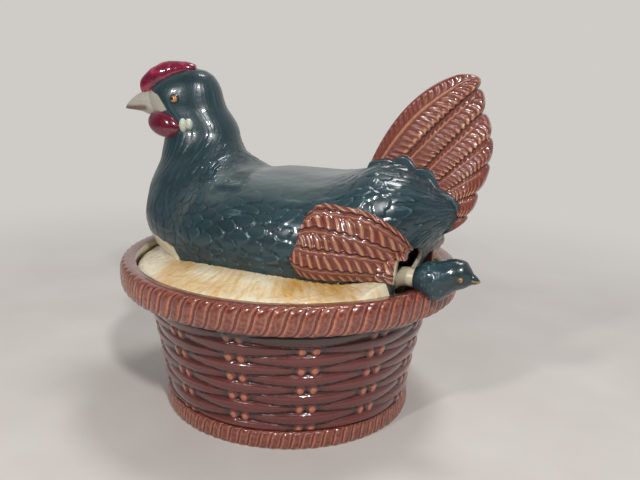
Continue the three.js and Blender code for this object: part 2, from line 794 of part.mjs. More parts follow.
/** The rose comb: a knobbly roll along the crown. */
function combSolid() {
  const stations = comb.knobs * 2 + 1
  const sections = []
  for (let i = 0; i <= stations; i += 1) {
    const share = i / stations
    const bulge = Math.sin(Math.PI * mix(comb.end_share, 1 - comb.end_share, share)) ** comb.fullness
    const knob = 1 + comb.knob_share * (i % 2 === 1 ? 1 : -1)
    const arch = comb.radius * comb.arch_share * Math.sin(Math.PI * share)
    const ahead = mix(comb.back, comb.front, share)
    const height = belowCrown(mix(comb.backDrop, comb.frontDrop, share)) + arch
    const section = []
    for (let side = 0; side < segments.tube; side += 1) {
      const angle = side / segments.tube * fullTurn
      const up = comb.radius * bulge * knob * Math.sin(angle)
      const left = comb.halfWidth * bulge * knob * Math.cos(angle)
      section.push(headPoint(ahead + up * comb.lean_share, left, height + up))
    }
    sections.push(section)
  }
  return loft(sections)
}

/** The beak: a short hooked cone. */
function beakSolid() {
  const sections = beak_shares.map(([along, tall, wide]) => {
    const section = []
    const centre = belowCrown(mix(beak.baseDrop, beak.tipDrop, along ** beak.hook))
    for (let side = 0; side < segments.tube; side += 1) {
      const angle = side / segments.tube * fullTurn
      const up = beak.halfHeight * tall * Math.sin(angle)
      const left = beak.halfWidth * wide * Math.cos(angle)
      section.push(headPoint(mix(beak.baseReach, beak.tipReach, along), left, centre + up))
    }
    return section
  })
  return loft(sections)
}

/** A wattle: a fat crescent hung below the beak, on the side given by its sign. */
function wattleSolid(side) {
  const points = wattle_path_shares.map(([ahead, down]) => {
    return new THREE.Vector2(ahead * beak.tipReach, belowCrown(down * body.neckHeight))
  })
  const middle = new THREE.SplineCurve(points)
  const last = wattle_path_shares.length - 1
  const sections = wattle_path_shares.map(([, , fat], index) => {
    const centre = points[index]
    const along = middle.getTangent(index / last)
    const section = []
    for (let step = 0; step < segments.tube; step += 1) {
      const angle = step / segments.tube * fullTurn
      const across = wattle.halfHeight * fat * Math.sin(angle)
      const bow = wattle.splay * Math.sin(Math.PI * index / last)
      const left = wattle.side + bow + wattle.halfThickness * fat * Math.cos(angle)
      const [ahead, height] = [centre.x - along.y * across, centre.y + along.x * across]
      section.push(headPoint(ahead, side * left, height))
    }
    return section
  })
  return loft(sections)
}

/** Places a small lobe on the head's left side. */
function onHead(reach, left, drop) {
  const turn = new THREE.Matrix4().makeRotationZ(radians(body.turn))
  return turn.setPosition(headPoint(reach, left, belowCrown(drop)))
}

/** The mirror image of a lobe across the head's own turned middle plane. */
function otherSide(lobe) {
  const normal = [Math.sin(radians(body.turn)), -Math.cos(radians(body.turn)), 0]
  return lobe.translate([-body.pivotX, 0, 0]).mirror(normal).translate([body.pivotX, 0, 0])
}

// The ladle

/** Where the nest's mouth crosses the ladle's own plane. */
function mouthX() {
  return Math.sqrt(nestRing().inner ** 2 - ladle.y ** 2)
}

/** Where the chick's head starts. */
function neckX() {
  return mouthX() + ladle.neckReach
}

/** Centre line of the ladle's handle from the bowl's edge up over the rim to the chick. */
function handlePath() {
  const bowlEdge = ladle.bowlX + ladle.bowlRadius - ladle.bowlWall / 2
  const bowlTop = basket.floor + seam + ladle.bowlDepth - ladle.stemRadius
  const path = new THREE.CurvePath()
  const low = new THREE.Vector3(bowlEdge, ladle.y, bowlTop)
  const rise = new THREE.Vector3(mouthX() - ladle.riseInset, ladle.y, ladle.riseHeight)
  const bend = new THREE.Vector3(mouthX() - ladle.bendInset, ladle.y, stemHeight())
  const straight = new THREE.Vector3(mouthX() + ladle.straightReach, ladle.y, stemHeight())
  const end = new THREE.Vector3(neckX(), ladle.y, stemHeight())
  path.add(new THREE.CubicBezierCurve3(low, rise, bend, straight))
  path.add(new THREE.LineCurve3(straight, end))
  return path
}

/** The round stem, trimmed where it joins the ladle's bowl. */
function handleSolid() {
  const path = handlePath()
  const sections = []
  for (let step = 0; step <= ladle.handleSteps; step += 1) {
    const share = step / ladle.handleSteps
    const centre = path.getPoint(share)
    const along = path.getTangent(share)
    const across = new THREE.Vector3(0, 1, 0)
    const up = new THREE.Vector3().crossVectors(along, across).normalize()
    const section = []
    for (let side = 0; side < ladle.handleSides; side += 1) {
      const angle = side / ladle.handleSides * fullTurn
      const point = centre.clone()
      point.addScaledVector(across, ladle.stemRadius * Math.cos(angle))
      point.addScaledVector(up, ladle.stemRadius * Math.sin(angle))
      section.push(point)
    }
    sections.push(section)
  }
  const cup = turned(ladleBowlProfile(-seam, seam), segments.cup).translate([ladle.bowlX, ladle.y, 0])
  return loft(sections).subtract(cup)
}

/** Half-round profile of the ladle's bowl, shrunk inwards by an inset, flat underneath. */
function ladleBowlProfile(inset, top) {
  const bottom = basket.floor + seam + inset
  const profile = [[0, bottom], [ladle.bowlFlat, bottom]]
  const radius = ladle.bowlRadius - inset
  for (const share of cup_shares) {
    const angle = share * Math.PI / 2
    const out = mix(ladle.bowlFlat, radius, Math.sin(angle))
    profile.push([out, bottom + (ladle.bowlDepth - inset) * (1 - Math.cos(angle))])
  }
  if (top > 0) profile.push([radius, bottom + ladle.bowlDepth - inset + top])
  profile.push([0, profile[profile.length - 1][1]])
  return profile
}

/** The ladle's bowl as an open cup. */
function ladleBowlSolid() {
  const outside = turned(ladleBowlProfile(0, 0), segments.cup)
  const inside = turned(ladleBowlProfile(ladle.bowlWall, cutOverrun), segments.cup)
  return outside.subtract(inside).translate([ladle.bowlX, ladle.y, 0])
}

/** Height of the ladle's stem where it rests on the rope rim. */
function stemHeight() {
  return rim.top + seam + ladle.stemRadius
}

/** A section of the chick's head, with shares of its sizes, grown by a gap. */
function chickSection([along, rise, tall, wide], sides, grow = 0) {
  const start = neckX() + seam
  const end = neckX() + ladle.headLength - ladle.beakLength
  const height = stemHeight()
  const section = []
  for (let side = 0; side < sides; side += 1) {
    const angle = side / sides * fullTurn
    const y = ladle.y + (ladle.chickHalfWidth * wide + grow) * Math.cos(angle)
    const centre = height + ladle.chickHalfHeight * rise
    const z = centre + (ladle.chickHalfHeight * tall + grow) * Math.sin(angle)
    section.push(new THREE.Vector3(mix(start, end, along), y, z))
  }
  return section
}

/** The chick's head, its breast trimmed clear of the rope rim however far the ladle rocks up. */
function chickSolid() {
  let head = loft(chick_shares.map((shares) => chickSection(shares, segments.lobe)))
  const pivot = [ladle.bowlX - ladle.bowlFlat, 0, basket.floor + seam]
  const rimRing = rimEnvelope().translate(pivot.map((value) => -value))
  for (let step = 0; step <= ladle.rockSteps; step += 1) {
    const angle = ladle.rockAngle * step / ladle.rockSteps
    head = head.subtract(rimRing.rotate([0, angle, 0]).translate(pivot))
  }
  return head
}

/** The rim as a plain ring grown by a seam, to trim what rests on it. */
function rimEnvelope() {
  const arcStart = mix(seatRadius, rimRadius, rim.arc_share)
  const arc = ropeArc(arcStart, rimRadius, rim.bottom, rim.top, rim.arcPoints * 2 - 1)
  const low = rim.bottom - cutOverrun
  const profile = [[0, low], [rimRadius - rim.ridgeRelief, low]]
  for (const { radius, height } of arc) profile.push([radius + seam, height + seam])
  profile.push([0, rim.top + seam])
  return turned(profile, segments.rim)
}

/** The chick's small open beak tip. */
function chickBeakSolid() {
  const nose = chick_shares[chick_shares.length - 1]
  const base = chickSection(nose, segments.eyelet).map((point) => point.setX(point.x + seam))
  const end = neckX() + ladle.headLength
  const tip = chickSection(beak_tip_shares, segments.eyelet).map((point) => point.setX(end))
  return loft([base, tip])
}

/** One of the chick's eyes, on the side given by its sign, clear of the head by a seam. */
function chickEyeSolid(side, grownHead) {
  const [along, rise, wide] = chick_eye_shares
  const x = mix(neckX(), neckX() + ladle.headLength - ladle.beakLength, along)
  const y = ladle.y + side * ladle.chickHalfWidth * wide
  const z = stemHeight() + ladle.chickHalfHeight * rise
  const placing = new THREE.Matrix4().makeTranslation(x, y, z)
  const radius = ladle.eyeRadius
  return ellipsoid([radius, radius, radius], segments.eyelet, placing).subtract(grownHead)
}

// Assembly

const group = new THREE.Group()
const add = (name, body, look) => group.add(part(name, body, look))

add('basket_bowl', basketOutside().subtract(basketHollow()), finish.basket)
add('rim_rope', rimRope(), finish.basket)
add('foot_rope', footRope(), finish.basket)

const notchBlock = notchCut()
const hollow = henHollow()
const underStraw = belowTheStraw()
const straw = strawMound().subtract(ringBore()).subtract(hollow).subtract(notchBlock)
add('nest_straw', straw, finish.straw)

const hen = henOutside(0).subtract(hollow).subtract(underStraw).subtract(notchBlock)
add('hen_body', hen, finish.feathers)

const skin = henOutside(seam)
const wingBody = wingSolid(skin).subtract(underStraw)
add('wing_left', wingBody.subtract(notchBlock), finish.russet)
add('wing_right', mirrored(wingBody).subtract(skin), finish.russet)
add('tail_fan', tailSolid().subtract(skin), finish.russet)

const combBody = combSolid().subtract(skin)
add('comb', combBody, finish.crimson)
const beakBody = beakSolid().subtract(skin)
add('beak', beakBody, finish.beak)

for (const [side, name] of [[1, 'wattle_left'], [-1, 'wattle_right']]) {
  add(name, wattleSolid(side).subtract(skin), finish.crimson)
}

const eyeRadii = [eye.radius, eye.radius, eye.radius]
const leftEye = ellipsoid(eyeRadii, segments.bead, onHead(eye.reach, eye.side, eye.drop))
add('eye_left', leftEye.subtract(skin), finish.eye)
add('eye_right', otherSide(leftEye).subtract(skin), finish.eye)

const lobeRadii = [earlobe.halfLength, earlobe.halfThickness, earlobe.halfDrop]
const leftLobe = ellipsoid(lobeRadii, segments.bead, onHead(earlobe.reach, earlobe.side, earlobe.drop))
add('earlobe_left', leftLobe.subtract(skin), finish.lobe)
add('earlobe_right', otherSide(leftLobe).subtract(skin), finish.lobe)

const cup = ladleBowlSolid()
add('ladle_bowl', cup, finish.cream)
add('ladle_handle', handleSolid(), finish.cream)
add('chick_head', chickSolid(), finish.feathers)
add('chick_beak', chickBeakSolid(), finish.lobe)
const grownChick = loft(chick_shares.map((shares) => chickSection(shares, segments.lobe, seam)))
add('chick_eye_left', chickEyeSolid(-1, grownChick), finish.lobe)
add('chick_eye_right', chickEyeSolid(1, grownChick), finish.lobe)

export default group
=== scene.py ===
"""Hen on nest soup tureen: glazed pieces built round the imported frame.

Shapes are worked out in millimetres and stored in metres. +Z is up, -X is the hen's head end and
-Y her left side, the near side in the photograph.
"""

import logging
import math
from dataclasses import dataclass, field
from enum import Enum

import bmesh
import bpy
import numpy as np
from mathutils import Matrix, Vector


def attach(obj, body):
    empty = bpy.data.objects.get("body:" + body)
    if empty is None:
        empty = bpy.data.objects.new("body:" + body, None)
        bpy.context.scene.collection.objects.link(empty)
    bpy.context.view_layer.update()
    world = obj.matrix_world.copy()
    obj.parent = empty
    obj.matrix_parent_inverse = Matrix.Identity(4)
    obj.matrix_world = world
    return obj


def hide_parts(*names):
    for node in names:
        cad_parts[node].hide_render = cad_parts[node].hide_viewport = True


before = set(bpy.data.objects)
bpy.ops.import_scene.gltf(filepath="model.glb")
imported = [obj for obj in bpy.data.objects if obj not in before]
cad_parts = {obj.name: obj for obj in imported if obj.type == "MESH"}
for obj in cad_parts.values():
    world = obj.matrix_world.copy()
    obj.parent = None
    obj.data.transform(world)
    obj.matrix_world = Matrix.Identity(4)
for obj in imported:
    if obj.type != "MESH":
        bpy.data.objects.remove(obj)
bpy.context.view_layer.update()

LOG = logging.getLogger("hen_tureen")
MM = 0.001
TURN = 2 * math.pi
BACKDROP = "cfcbc7"
OFF = -2.0  # a value that keeps a patch away
Array = np.ndarray
Object = bpy.types.Object
Material = bpy.types.Material
Socket = bpy.types.NodeSocket
Triple = tuple[float, float, float]
Colour = Triple
Profile = list[tuple[float, float]]


class Body(Enum):
    """The bodies that pieces ride on."""

    BASKET = "basket"
    LID = "lid"
    LADLE = "ladle"


def paint(code: str) -> Colour:
    """A hex colour as linear light.

    Args:
        code: six hexadecimal digits.

    Returns:
        Red, green and blue as linear values.
    """
    shares = [int(code[i:i + 2], 16) / 255 for i in (0, 2, 4)]
    return tuple(s / 12.92 if s <= 0.04045 else ((s + 0.055) / 1.055) ** 2.4 for s in shares)


# Curves and noise


def eased(at: Array, stations: Array, values: Array) -> Array:
    """Reads a table on a smooth curve that never overshoots its stations.

    The slope at a station is the harmonic mean of the slopes beside it, and between stations the
    curve is the cubic with those end slopes.

    Args:
        at: places to read.
        stations: rising places of the table.
        values: the table's values.

    Returns:
        One value for each place.
    """
    stations, values = np.asarray(stations, float), np.asarray(values, float)
    step = np.diff(stations)
    slope = np.diff(values) / step
    tangent = np.zeros_like(values)
    tangent[0], tangent[-1] = slope[0], slope[-1]
    product, total = slope[:-1] * slope[1:], slope[:-1] + slope[1:]
    safe = np.where(np.abs(total) < 1e-12, 1.0, total)
    tangent[1:-1] = np.where(product > 0, 2 * product / safe, 0.0)
    i = np.clip(np.searchsorted(stations, at, side="right") - 1, 0, len(step) - 1)
    t = np.clip((at - stations[i]) / step[i], 0, 1)
    t2, t3 = t * t, t * t * t
    return ((2 * t3 - 3 * t2 + 1) * values[i] + (t3 - 2 * t2 + t) * step[i] * tangent[i]
            + (3 * t2 - 2 * t3) * values[i + 1] + (t3 - t2) * step[i] * tangent[i + 1])


def power(value: Array, exponent: float) -> Array:
    """A power that keeps the sign."""
    return np.sign(value) * np.abs(value) ** exponent


def soft(value: Array, low: float, high: float) -> Array:
    """A smooth step from 0 at low to 1 at high: three squares less two cubes of the share."""
    t = np.clip((value - low) / (high - low), 0, 1)
    return t * t * (3 - 2 * t)


def ring(steps: int) -> Array:
    """Angles of even steps round, from zero."""
    return np.arange(steps) / steps * TURN


def scatter(*cells: Array, seed: float = 0.0) -> Array:
    """A steady random number from 0 to 1 for whole-number cells: the fraction of a large sine.

    Args:
        cells: one to three arrays of whole numbers.
        seed: picks other numbers.

    Returns:
        One number for each cell.
    """
    total = seed * 17.31
    for weight, cell in zip((12.9898, 78.233, 37.719), cells):
        total = total + weight * cell
    return np.modf(np.abs(np.sin(total)) * 43758.5453)[0]


def ripple(*places: Array, seed: float = 0.0) -> Array:
    """Smooth noise from -1 to 1: random corner values of unit cells, blended by smooth steps.

    Args:
        places: two or three coordinate arrays, in cells.
        seed: picks another pattern.

    Returns:
        Noise of the shape that the places have together.
    """
    places = np.broadcast_arrays(*places)
    floors = [np.floor(p) for p in places]
    blends = [soft(p - f, 0, 1) for p, f in zip(places, floors)]
    total = 0.0
    for corner in range(2 ** len(places)):
        bits = [(corner >> k) & 1 for k in range(len(places))]
        weight = 1.0
        for bit, blend in zip(bits, blends):
            weight = weight * (blend if bit else 1 - blend)
        total = total + weight * scatter(*[f + b for f, b in zip(floors, bits)], seed=seed)
    return total * 2 - 1


def feather_at(across: Array, count: int) -> Array:
    """The number of the feather at a place across, where the far edge is on the last one."""
    return np.floor(np.minimum(across, count - 1e-6))


SHINGLE_ROWS = 2.0
SHINGLE_TIP = 0.42


def shingles(along: Array, across: Array, around: int,
             seed: float = 0.0) -> tuple[Array, Array, Array]:
    """Overlapping feathers on a brick grid, one cell wide and about two rows long.

    A point is on the older row's feather while it lies before that feather's round tip, and
    otherwise on its own row's. Height grows with the way from the root, so each tip stands proud.

    Args:
        along: rows from the head towards the tail.
        across: columns round the body.
        around: how many columns close the round, for matching random values.
        seed: picks other random values.

    Returns:
        Height from 0 to 1, a random value for each feather, and its outline: 1 along the tip,
        below zero just past it.
    """
    row = np.floor(along)
    parts = []
    for back in (1, 0):
        own = row - back
        shift = 0.5 * np.mod(own, 2)
        column = np.round(across - shift)
        side = 2 * (across - shift - column)
        wobble = 0.3 * (scatter(own, np.mod(column, around), seed=seed + 3) - 0.5)
        reach = SHINGLE_ROWS * (1 - SHINGLE_TIP * side ** 2 + 0.5 * wobble)
        parts.append((along - own, side, scatter(own, np.mod(column, around), seed=seed), reach))
    (age_1, side_1, tone_1, reach_1), (age_0, side_0, tone_0, _) = parts
    on_older = age_1 < reach_1
    age = np.where(on_older, age_1, age_0)
    side = np.where(on_older, side_1, side_0)
    height = np.clip(age / SHINGLE_ROWS - 0.22 * side ** 2, 0, 1)
    gap = reach_1 - age_1
    outline = np.where(on_older, np.exp(-(gap / 0.22) ** 2), -np.exp(-(gap / 0.16) ** 2))
    return height, np.where(on_older, tone_1, tone_0), outline


# Meshes


@dataclass
class Sheet:
    """A grid of points in millimetres, closed across its columns, with named values at each point.

    Attributes:
        points: rows by columns by three.
        values: arrays of rows by columns, or by three for a vector.
        capped: both end rows are drawn together at their middles.
        closed_rows: the last row joins the first.
    """

    points: Array
    values: dict[str, Array] = field(default_factory=dict)
    capped: bool = False
    closed_rows: bool = False

    def settled(self) -> "Sheet":
        """The sheet with its drawn-together end rows as real rows.

        Returns:
            The sheet itself where no ends are drawn together, else a new one.
        """
        if not self.capped:
            return self
        ends = [np.broadcast_to(row.mean(0), row.shape)[None] for row in self.points[[0, -1]]]
        points = np.concatenate([ends[0], self.points, ends[1]])
        values = {k: np.concatenate([v[:1], v, v[-1:]]) for k, v in self.values.items()}
        return Sheet(points, values, closed_rows=self.closed_rows)

    def faces(self) -> Array:
        """Four-sided faces between neighbouring rows and columns, facing outwards.

        Returns:
            Faces by four point numbers, turned round if the volume they enclose is below zero.
        """
        rows, columns = self.points.shape[:2]
        r, c = np.meshgrid(np.arange(rows - (not self.closed_rows)), np.arange(columns),
                           indexing="ij")
        r2, c2 = (r + 1) % rows, (c + 1) % columns
        corners = [r * columns + c, r * columns + c2, r2 * columns + c2, r2 * columns + c]
        quads = np.stack(corners, -1).reshape(-1, 4)
        flat = self.points.reshape(-1, 3)
        a, b, d, e = (flat[quads[:, k]] for k in range(4))
        volume = (a * np.cross(b, d)).sum() + (a * np.cross(d, e)).sum()
        return quads if volume > 0 else quads[:, ::-1]


def outward(points: Array) -> Array:
    """Unit normals of a closed tube's grid, turned away from the middles of its rows.

    A normal is the cross product of the differences along columns and rows.

    Args:
        points: rows by columns by three.

    Returns:
        Unit vectors of the grid's shape.
    """
    along_columns = np.roll(points, -1, 1) - np.roll(points, 1, 1)
    cross = np.cross(along_columns, np.gradient(points, axis=0))
    length = np.linalg.norm(cross, axis=-1, keepdims=True)
    out = cross / np.where(length < 1e-9, 1, length)
    return out * np.sign(((points - points.mean(1, keepdims=True)) * out).sum(-1).mean())


def around(radius: Array, angle: Array, height: Array,
           centre: tuple[float, float] = (0.0, 0.0)) -> Array:
    """Points about an upright axis.

    Args:
        radius: distance from the axis.
        angle: angle round it.
        height: height.
        centre: where the axis stands.

    Returns:
        Points in the shared frame.
    """
    x, y = centre[0] + radius * np.cos(angle), centre[1] + radius * np.sin(angle)
    return np.stack(np.broadcast_arrays(x, y, height), -1)


def plain(points: Array, relief: Array, **values: Array) -> dict[str, Array]:
    """Values of a small even piece.

    Args:
        points: the piece's points.
        relief: its relief for the glaze.
        values: further values, or ones that take the place of the even tone and flow.

    Returns:
        The values by name.
    """
    return {"relief": np.broadcast_to(relief, points.shape[:2]), "flow": points * 0.05,
            "tone": np.full(points.shape[:2], 0.5), **values}


def mesh_object(name: str, sheets: list[Sheet], material: Material) -> Object:
    """Joins sheets into one smooth-shaded object at the origin, with poles and seams merged.

    Args:
        name: the piece's name.
        sheets: its surfaces.
        material: its finish.

    Returns:
        The linked object.
    """
    sheets = [s.settled() for s in sheets]
    points, quads, start = [], [], 0
    for sheet in sheets:
        points.append(sheet.points.reshape(-1, 3))
        quads.append(sheet.faces() + start)
        start += len(points[-1])
    mesh = bpy.data.meshes.new(name)
    mesh.from_pydata((np.concatenate(points) * MM).tolist(), [], np.concatenate(quads).tolist())
    for key in sorted(sheets[0].values):
        wide = sheets[0].values[key].ndim == 3
        values = np.concatenate([s.values[key].reshape(-1) for s in sheets])
        layer = mesh.attributes.new(key, "FLOAT_VECTOR" if wide else "FLOAT", "POINT")
        layer.data.foreach_set("vector" if wide else "value", values.astype(np.float32))
    merged = bmesh.new()
    merged.from_mesh(mesh)
    bmesh.ops.remove_doubles(merged, verts=merged.verts, dist=2e-6)
    bmesh.ops.dissolve_degenerate(merged, edges=merged.edges, dist=1e-7)
    merged.to_mesh(mesh)
    merged.free()
    mesh.polygons.foreach_set("use_smooth", np.ones(len(mesh.polygons), bool))
    mesh.materials.append(material)
    piece = bpy.data.objects.new(name, mesh)
    bpy.context.scene.collection.objects.link(piece)
    return piece


def shape(piece: Object, operation: str, *tools: Object) -> None:
    """Joins tools to a piece or takes them out of it, one by one, and removes them.

    Args:
        piece: the object to change. New walls get the tool's finish.
        operation: UNION or DIFFERENCE.
        tools: closed objects.

    Raises:
        RuntimeError: a step left the piece as it was.
    """
    for tool in tools:
        step = piece.modifiers.new("shape", "BOOLEAN")
        step.operation, step.solver, step.object = operation, "MANIFOLD", tool
        step.material_mode = "TRANSFER"
        graph = bpy.context.evaluated_depsgraph_get()
        made = bpy.data.meshes.new_from_object(piece.evaluated_get(graph))
        if len(made.vertices) == len(piece.data.vertices):
            raise RuntimeError(f"{operation} with {tool.name} didn't change {piece.name}")
        piece.modifiers.clear()
        piece.data = made
        made.name = piece.name
        bpy.data.objects.remove(tool)


def settle(piece: Object, body: Body, slot: str, *nodes: str) -> None:
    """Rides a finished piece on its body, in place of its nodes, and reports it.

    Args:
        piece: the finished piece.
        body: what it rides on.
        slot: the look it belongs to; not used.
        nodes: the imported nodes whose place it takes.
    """
    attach(piece, body.value)
    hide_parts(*nodes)
    LOG.info("%s: %d faces, rides on %s", piece.name, len(piece.data.polygons), body.value)


def lathe(profile: Array, steps: int, centre: tuple[float, float] = (0.0, 0.0)) -> Sheet:
    """A surface of revolution about an upright axis.

    Args:
        profile: points by radius and height, from axis to axis.
        steps: how many steps round.
        centre: where the axis stands.

    Returns:
        A closed sheet, with its poles as rows of equal points.
    """
    return Sheet(around(profile[:, :1], ring(steps), profile[:, 1:], centre))


def rounded(corners: Profile, radius: float, steps: int) -> Array:
    """A profile with its inner corners rounded by quadratic curves.

    Args:
        corners: radius and height of each corner.
        radius: how far the rounding reaches along each side.
        steps: points on each rounding.

    Returns:
        Points by radius and height.
    """
    path = np.array(corners, float)
    made = [path[:1]]
    t = np.linspace(0, 1, steps)[:, None]
    for before, corner, after in zip(path[:-2], path[1:-1], path[2:]):
        ends = []
        for other in (before, after):
            way = other - corner
            length = np.linalg.norm(way)
            ends.append(corner + way / length * min(radius, 0.45 * length))
        made.append((1 - t) ** 2 * ends[0] + 2 * t * (1 - t) * corner + t ** 2 * ends[1])
    made.append(path[-1:])
    return np.concatenate(made)


def globe(centre: Array, axes: Array, rows: int, columns: int) -> Sheet:
    """An ellipsoid: the unit sphere's points carried by three half-axes.

    Args:
        centre: its middle.
        axes: three half-axes as rows.
        rows: steps from pole to pole.
        columns: steps round.

    Returns:
        A closed sheet with the unit sphere's points as its flow and an even tone.
    """
    polar = np.linspace(0, math.pi, rows)[:, None]
    unit = around(np.sin(polar), ring(columns), np.cos(polar))
    return Sheet(centre + unit @ axes, plain(unit, 0.5, flow=unit))


# Finishes


class Nodes:
    """The node tree of a material or world, built node by node."""

    def __init__(self, owner: Material | bpy.types.World) -> None:
        """Empties the tree of its owner.

        Args:
            owner: the material or world.
        """
        owner.use_nodes = True
        self.tree = owner.node_tree
        self.tree.nodes.clear()

    def add(self, kind: str, inputs: dict | None = None, **settings: object) -> bpy.types.Node:
        """Adds a node.

        Args:
            kind: the node's type without its ShaderNode prefix.
            inputs: sockets by name or number, each a number, a colour or a socket to link from.
            settings: the node's own properties.

        Returns:
            The node.
        """
        node = self.tree.nodes.new("ShaderNode" + kind)
        for key, value in settings.items():
            setattr(node, key, value)
        for key, value in (inputs or {}).items():
            if isinstance(value, Socket):
                self.tree.links.new(value, node.inputs[key])
            else:
                node.inputs[key].default_value = (*value, 1) if isinstance(value, tuple) else value
        return node

    def value(self, name: str, output: str = "Fac") -> Socket:
        """The socket of a named attribute."""
        return self.add("Attribute", attribute_name=name).outputs[output]

    def math(self, operation: str, a: object, b: object) -> Socket:
        """One arithmetic step."""
        return self.add("Math", {0: a, 1: b}, operation=operation).outputs[0]

    def swing(self, share: Socket, size: float) -> Socket:
        """A share from 0 to 1 as a swing about zero: its way past one half times the size."""
        return self.math("MULTIPLY", self.math("SUBTRACT", share, 0.5), size)

    def span(self, value: Socket, low: float, high: float, kind: str = "LINEAR") -> Socket:
        """A value's share of the way from low to high."""
        inputs = {"Value": value, "From Min": low, "From Max": high}
        return self.add("MapRange", inputs, interpolation_type=kind).outputs[0]

    def between(self, share: Socket, low: float, high: float) -> Socket:
        """The value that lies at a share of the way from low to high."""
        return self.add("MapRange", {"Value": share, "To Min": low, "To Max": high}).outputs[0]

    def noise(self, vector: Socket, scale: float, detail: float = 3.0) -> Socket:
        """Noise from 0 to 1 at a vector."""
        inputs = {"Vector": vector, "Scale": scale, "Detail": detail}
        return self.add("TexNoise", inputs).outputs["Fac"]

    def mix(self, share: object, a: object, b: object, blend: str = "MIX") -> Socket:
        """A blend of two colours."""
        inputs = {0: share, 6: a, 7: b}
        return self.add("Mix", inputs, data_type="RGBA", blend_type=blend).outputs[2]

    def ramp(self, share: Socket, stops: list[tuple[float, str]]) -> Socket:
        """A colour ramp through the stops.

        Args:
            share: the place on the ramp.
            stops: each stop's place and hex colour.

        Returns:
            The colour.
        """
        node = self.add("ValToRGB", {"Fac": share})
        elements = node.color_ramp.elements
        while len(elements) < len(stops):
            elements.new(0.5)
        for element, (place, code) in zip(elements, stops):
            element.position, element.color = place, (*paint(code), 1)
        return node.outputs["Color"]


@dataclass(frozen=True)
class Patch:
    """A second colour laid over a glaze where an attribute is above zero.

    Attributes:
        attribute: the attribute's name.
        colour: the patch's colour.
        softness: how wide its edge is.
        ragged: how far noise moves its edge.
        scale: the noise's scale along the flow.
    """

    attribute: str
    colour: str
    softness: float
    ragged: float = 0.0
    scale: float = 1.0


@dataclass(frozen=True)
class Glaze:
    """A glossy coloured glaze that pools darker in hollows and thins on crests.

    Attributes:
        name: the material's name.
        pool: colour in the hollows.
        body: the main colour.
        crest: colour on raised edges.
        streak: colour of the brush strokes that follow the flow.
        streaks: how much of the surface the strokes take.
        roughness: how matt it is under its clear coat.
        coat: strength of the clear coat.
        plateau: relief from which the body colour starts and at which it ends.
        mottle: how much the tone varies over about 30 mm.
        speckle: how far fine noise moves the relief before it is coloured.
        grain: bump height of the glaze's own unevenness, in metres.
        patches: second colours laid over it.
    """

    name: str
    pool: str
    body: str
    crest: str
    streak: str = ""
    streaks: float = 0.0
    roughness: float = 0.28
    coat: float = 0.9
    plateau: tuple[float, float] = (0.42, 0.66)
    mottle: float = 0.22
    speckle: float = 0.3
    grain: float = 0.0004
    patches: tuple[Patch, ...] = ()

    def material(self) -> Material:
        """Builds the node material.

        Returns:
            A material that reads the attributes relief, tone and flow, and Object coordinates.
        """
        material = bpy.data.materials.new(self.name)
        made = Nodes(material)
        place = made.add("TexCoord").outputs["Object"]
        flow = made.value("flow", "Vector")
        fine, broad = made.noise(place, 420.0, 4.0), made.noise(place, 34.0, 2.0)
        relief = made.math("ADD", made.value("relief"), made.swing(fine, self.speckle))
        start, end = self.plateau
        colour = made.ramp(relief, [(0.06, self.pool), (start, self.body), (end, self.body),
                                    (0.97, self.crest)])
        if self.streaks:
            share = made.span(made.noise(flow, 1.0), 0.68 - 0.3 * self.streaks,
                              0.78 - 0.1 * self.streaks)
            colour = made.mix(made.math("MULTIPLY", share, 0.75), colour, paint(self.streak))
        tone = made.math("ADD", made.swing(broad, 2 * self.mottle),
                         made.swing(made.value("tone"), self.mottle))
        bright = made.math("ADD", tone, 1.0)
        grey = made.add("CombineColor", {0: bright, 1: bright, 2: bright}).outputs[0]
        colour = made.mix(1.0, colour, grey, "MULTIPLY")
        for patch in self.patches:
            edge = made.swing(made.noise(flow, patch.scale), 2 * patch.ragged)
            over = made.math("ADD", made.value(patch.attribute), edge)
            share = made.span(over, -patch.softness, patch.softness)
            colour = made.mix(share, colour, paint(patch.colour))
        gloss = made.between(broad, self.roughness * 0.8, self.roughness * 1.25)
        wave = made.add("Bump", {"Strength": 0.5, "Distance": self.grain,
                                 "Height": made.noise(place, 150.0, 2.0)}).outputs[0]
        shader = made.add("BsdfPrincipled", {
            "Base Color": colour, "Roughness": gloss, "Normal": wave, "IOR": 1.5,
            "Coat Weight": self.coat, "Coat Roughness": 0.05, "Coat Normal": wave,
        })
        made.add("OutputMaterial", {"Surface": shader.outputs[0]})
        return material


CREAM = Glaze("cream_glaze", "cfc3a8", "e8dfc9", "efe8d8", mottle=0.06, grain=0.0002)
# The basket glaze's shade patch is painted shade: a dark grey-brown band on the wall under the rim.
BASKET = Glaze("basket_glaze", "1d0a09", "632925", "b36c4e", plateau=(0.36, 0.76), mottle=0.16,
               patches=(Patch("inside", "d8cdb8", 0.3), Patch("dry", "cfc0a8", 0.3, 0.2, 40.0),
                        Patch("shade", "453735", 0.5, 0.3, 8.0)))
STRAW = Glaze("straw_glaze", "ddcda4", "e2d7bb", "ebe2cb", "d8bd7c", 0.45, mottle=0.05,
              speckle=0.1, patches=(Patch("gold", "c8963f", 0.8, 0.8),
                                    Patch("inside", "ddd2b8", 0.2)))
TEAL = Glaze("teal_glaze", "121c1f", "213a41", "5d888e", "44666e", 0.26, roughness=0.3, coat=0.5,
             mottle=0.34, patches=(Patch("grey", "54625f", 0.7, 0.3),
                                   Patch("belly", "dcd3bd", 0.12, 0.45, 3.0),
                                   Patch("face", "a9a698", 0.3, 0.25, 6.0)))
RUSSET = Glaze("russet_glaze", "35120f", "76382c", "b98462", "a06a50", 0.3, plateau=(0.36, 0.6),
               mottle=0.14, patches=(Patch("collar", "2b4249", 0.1),))
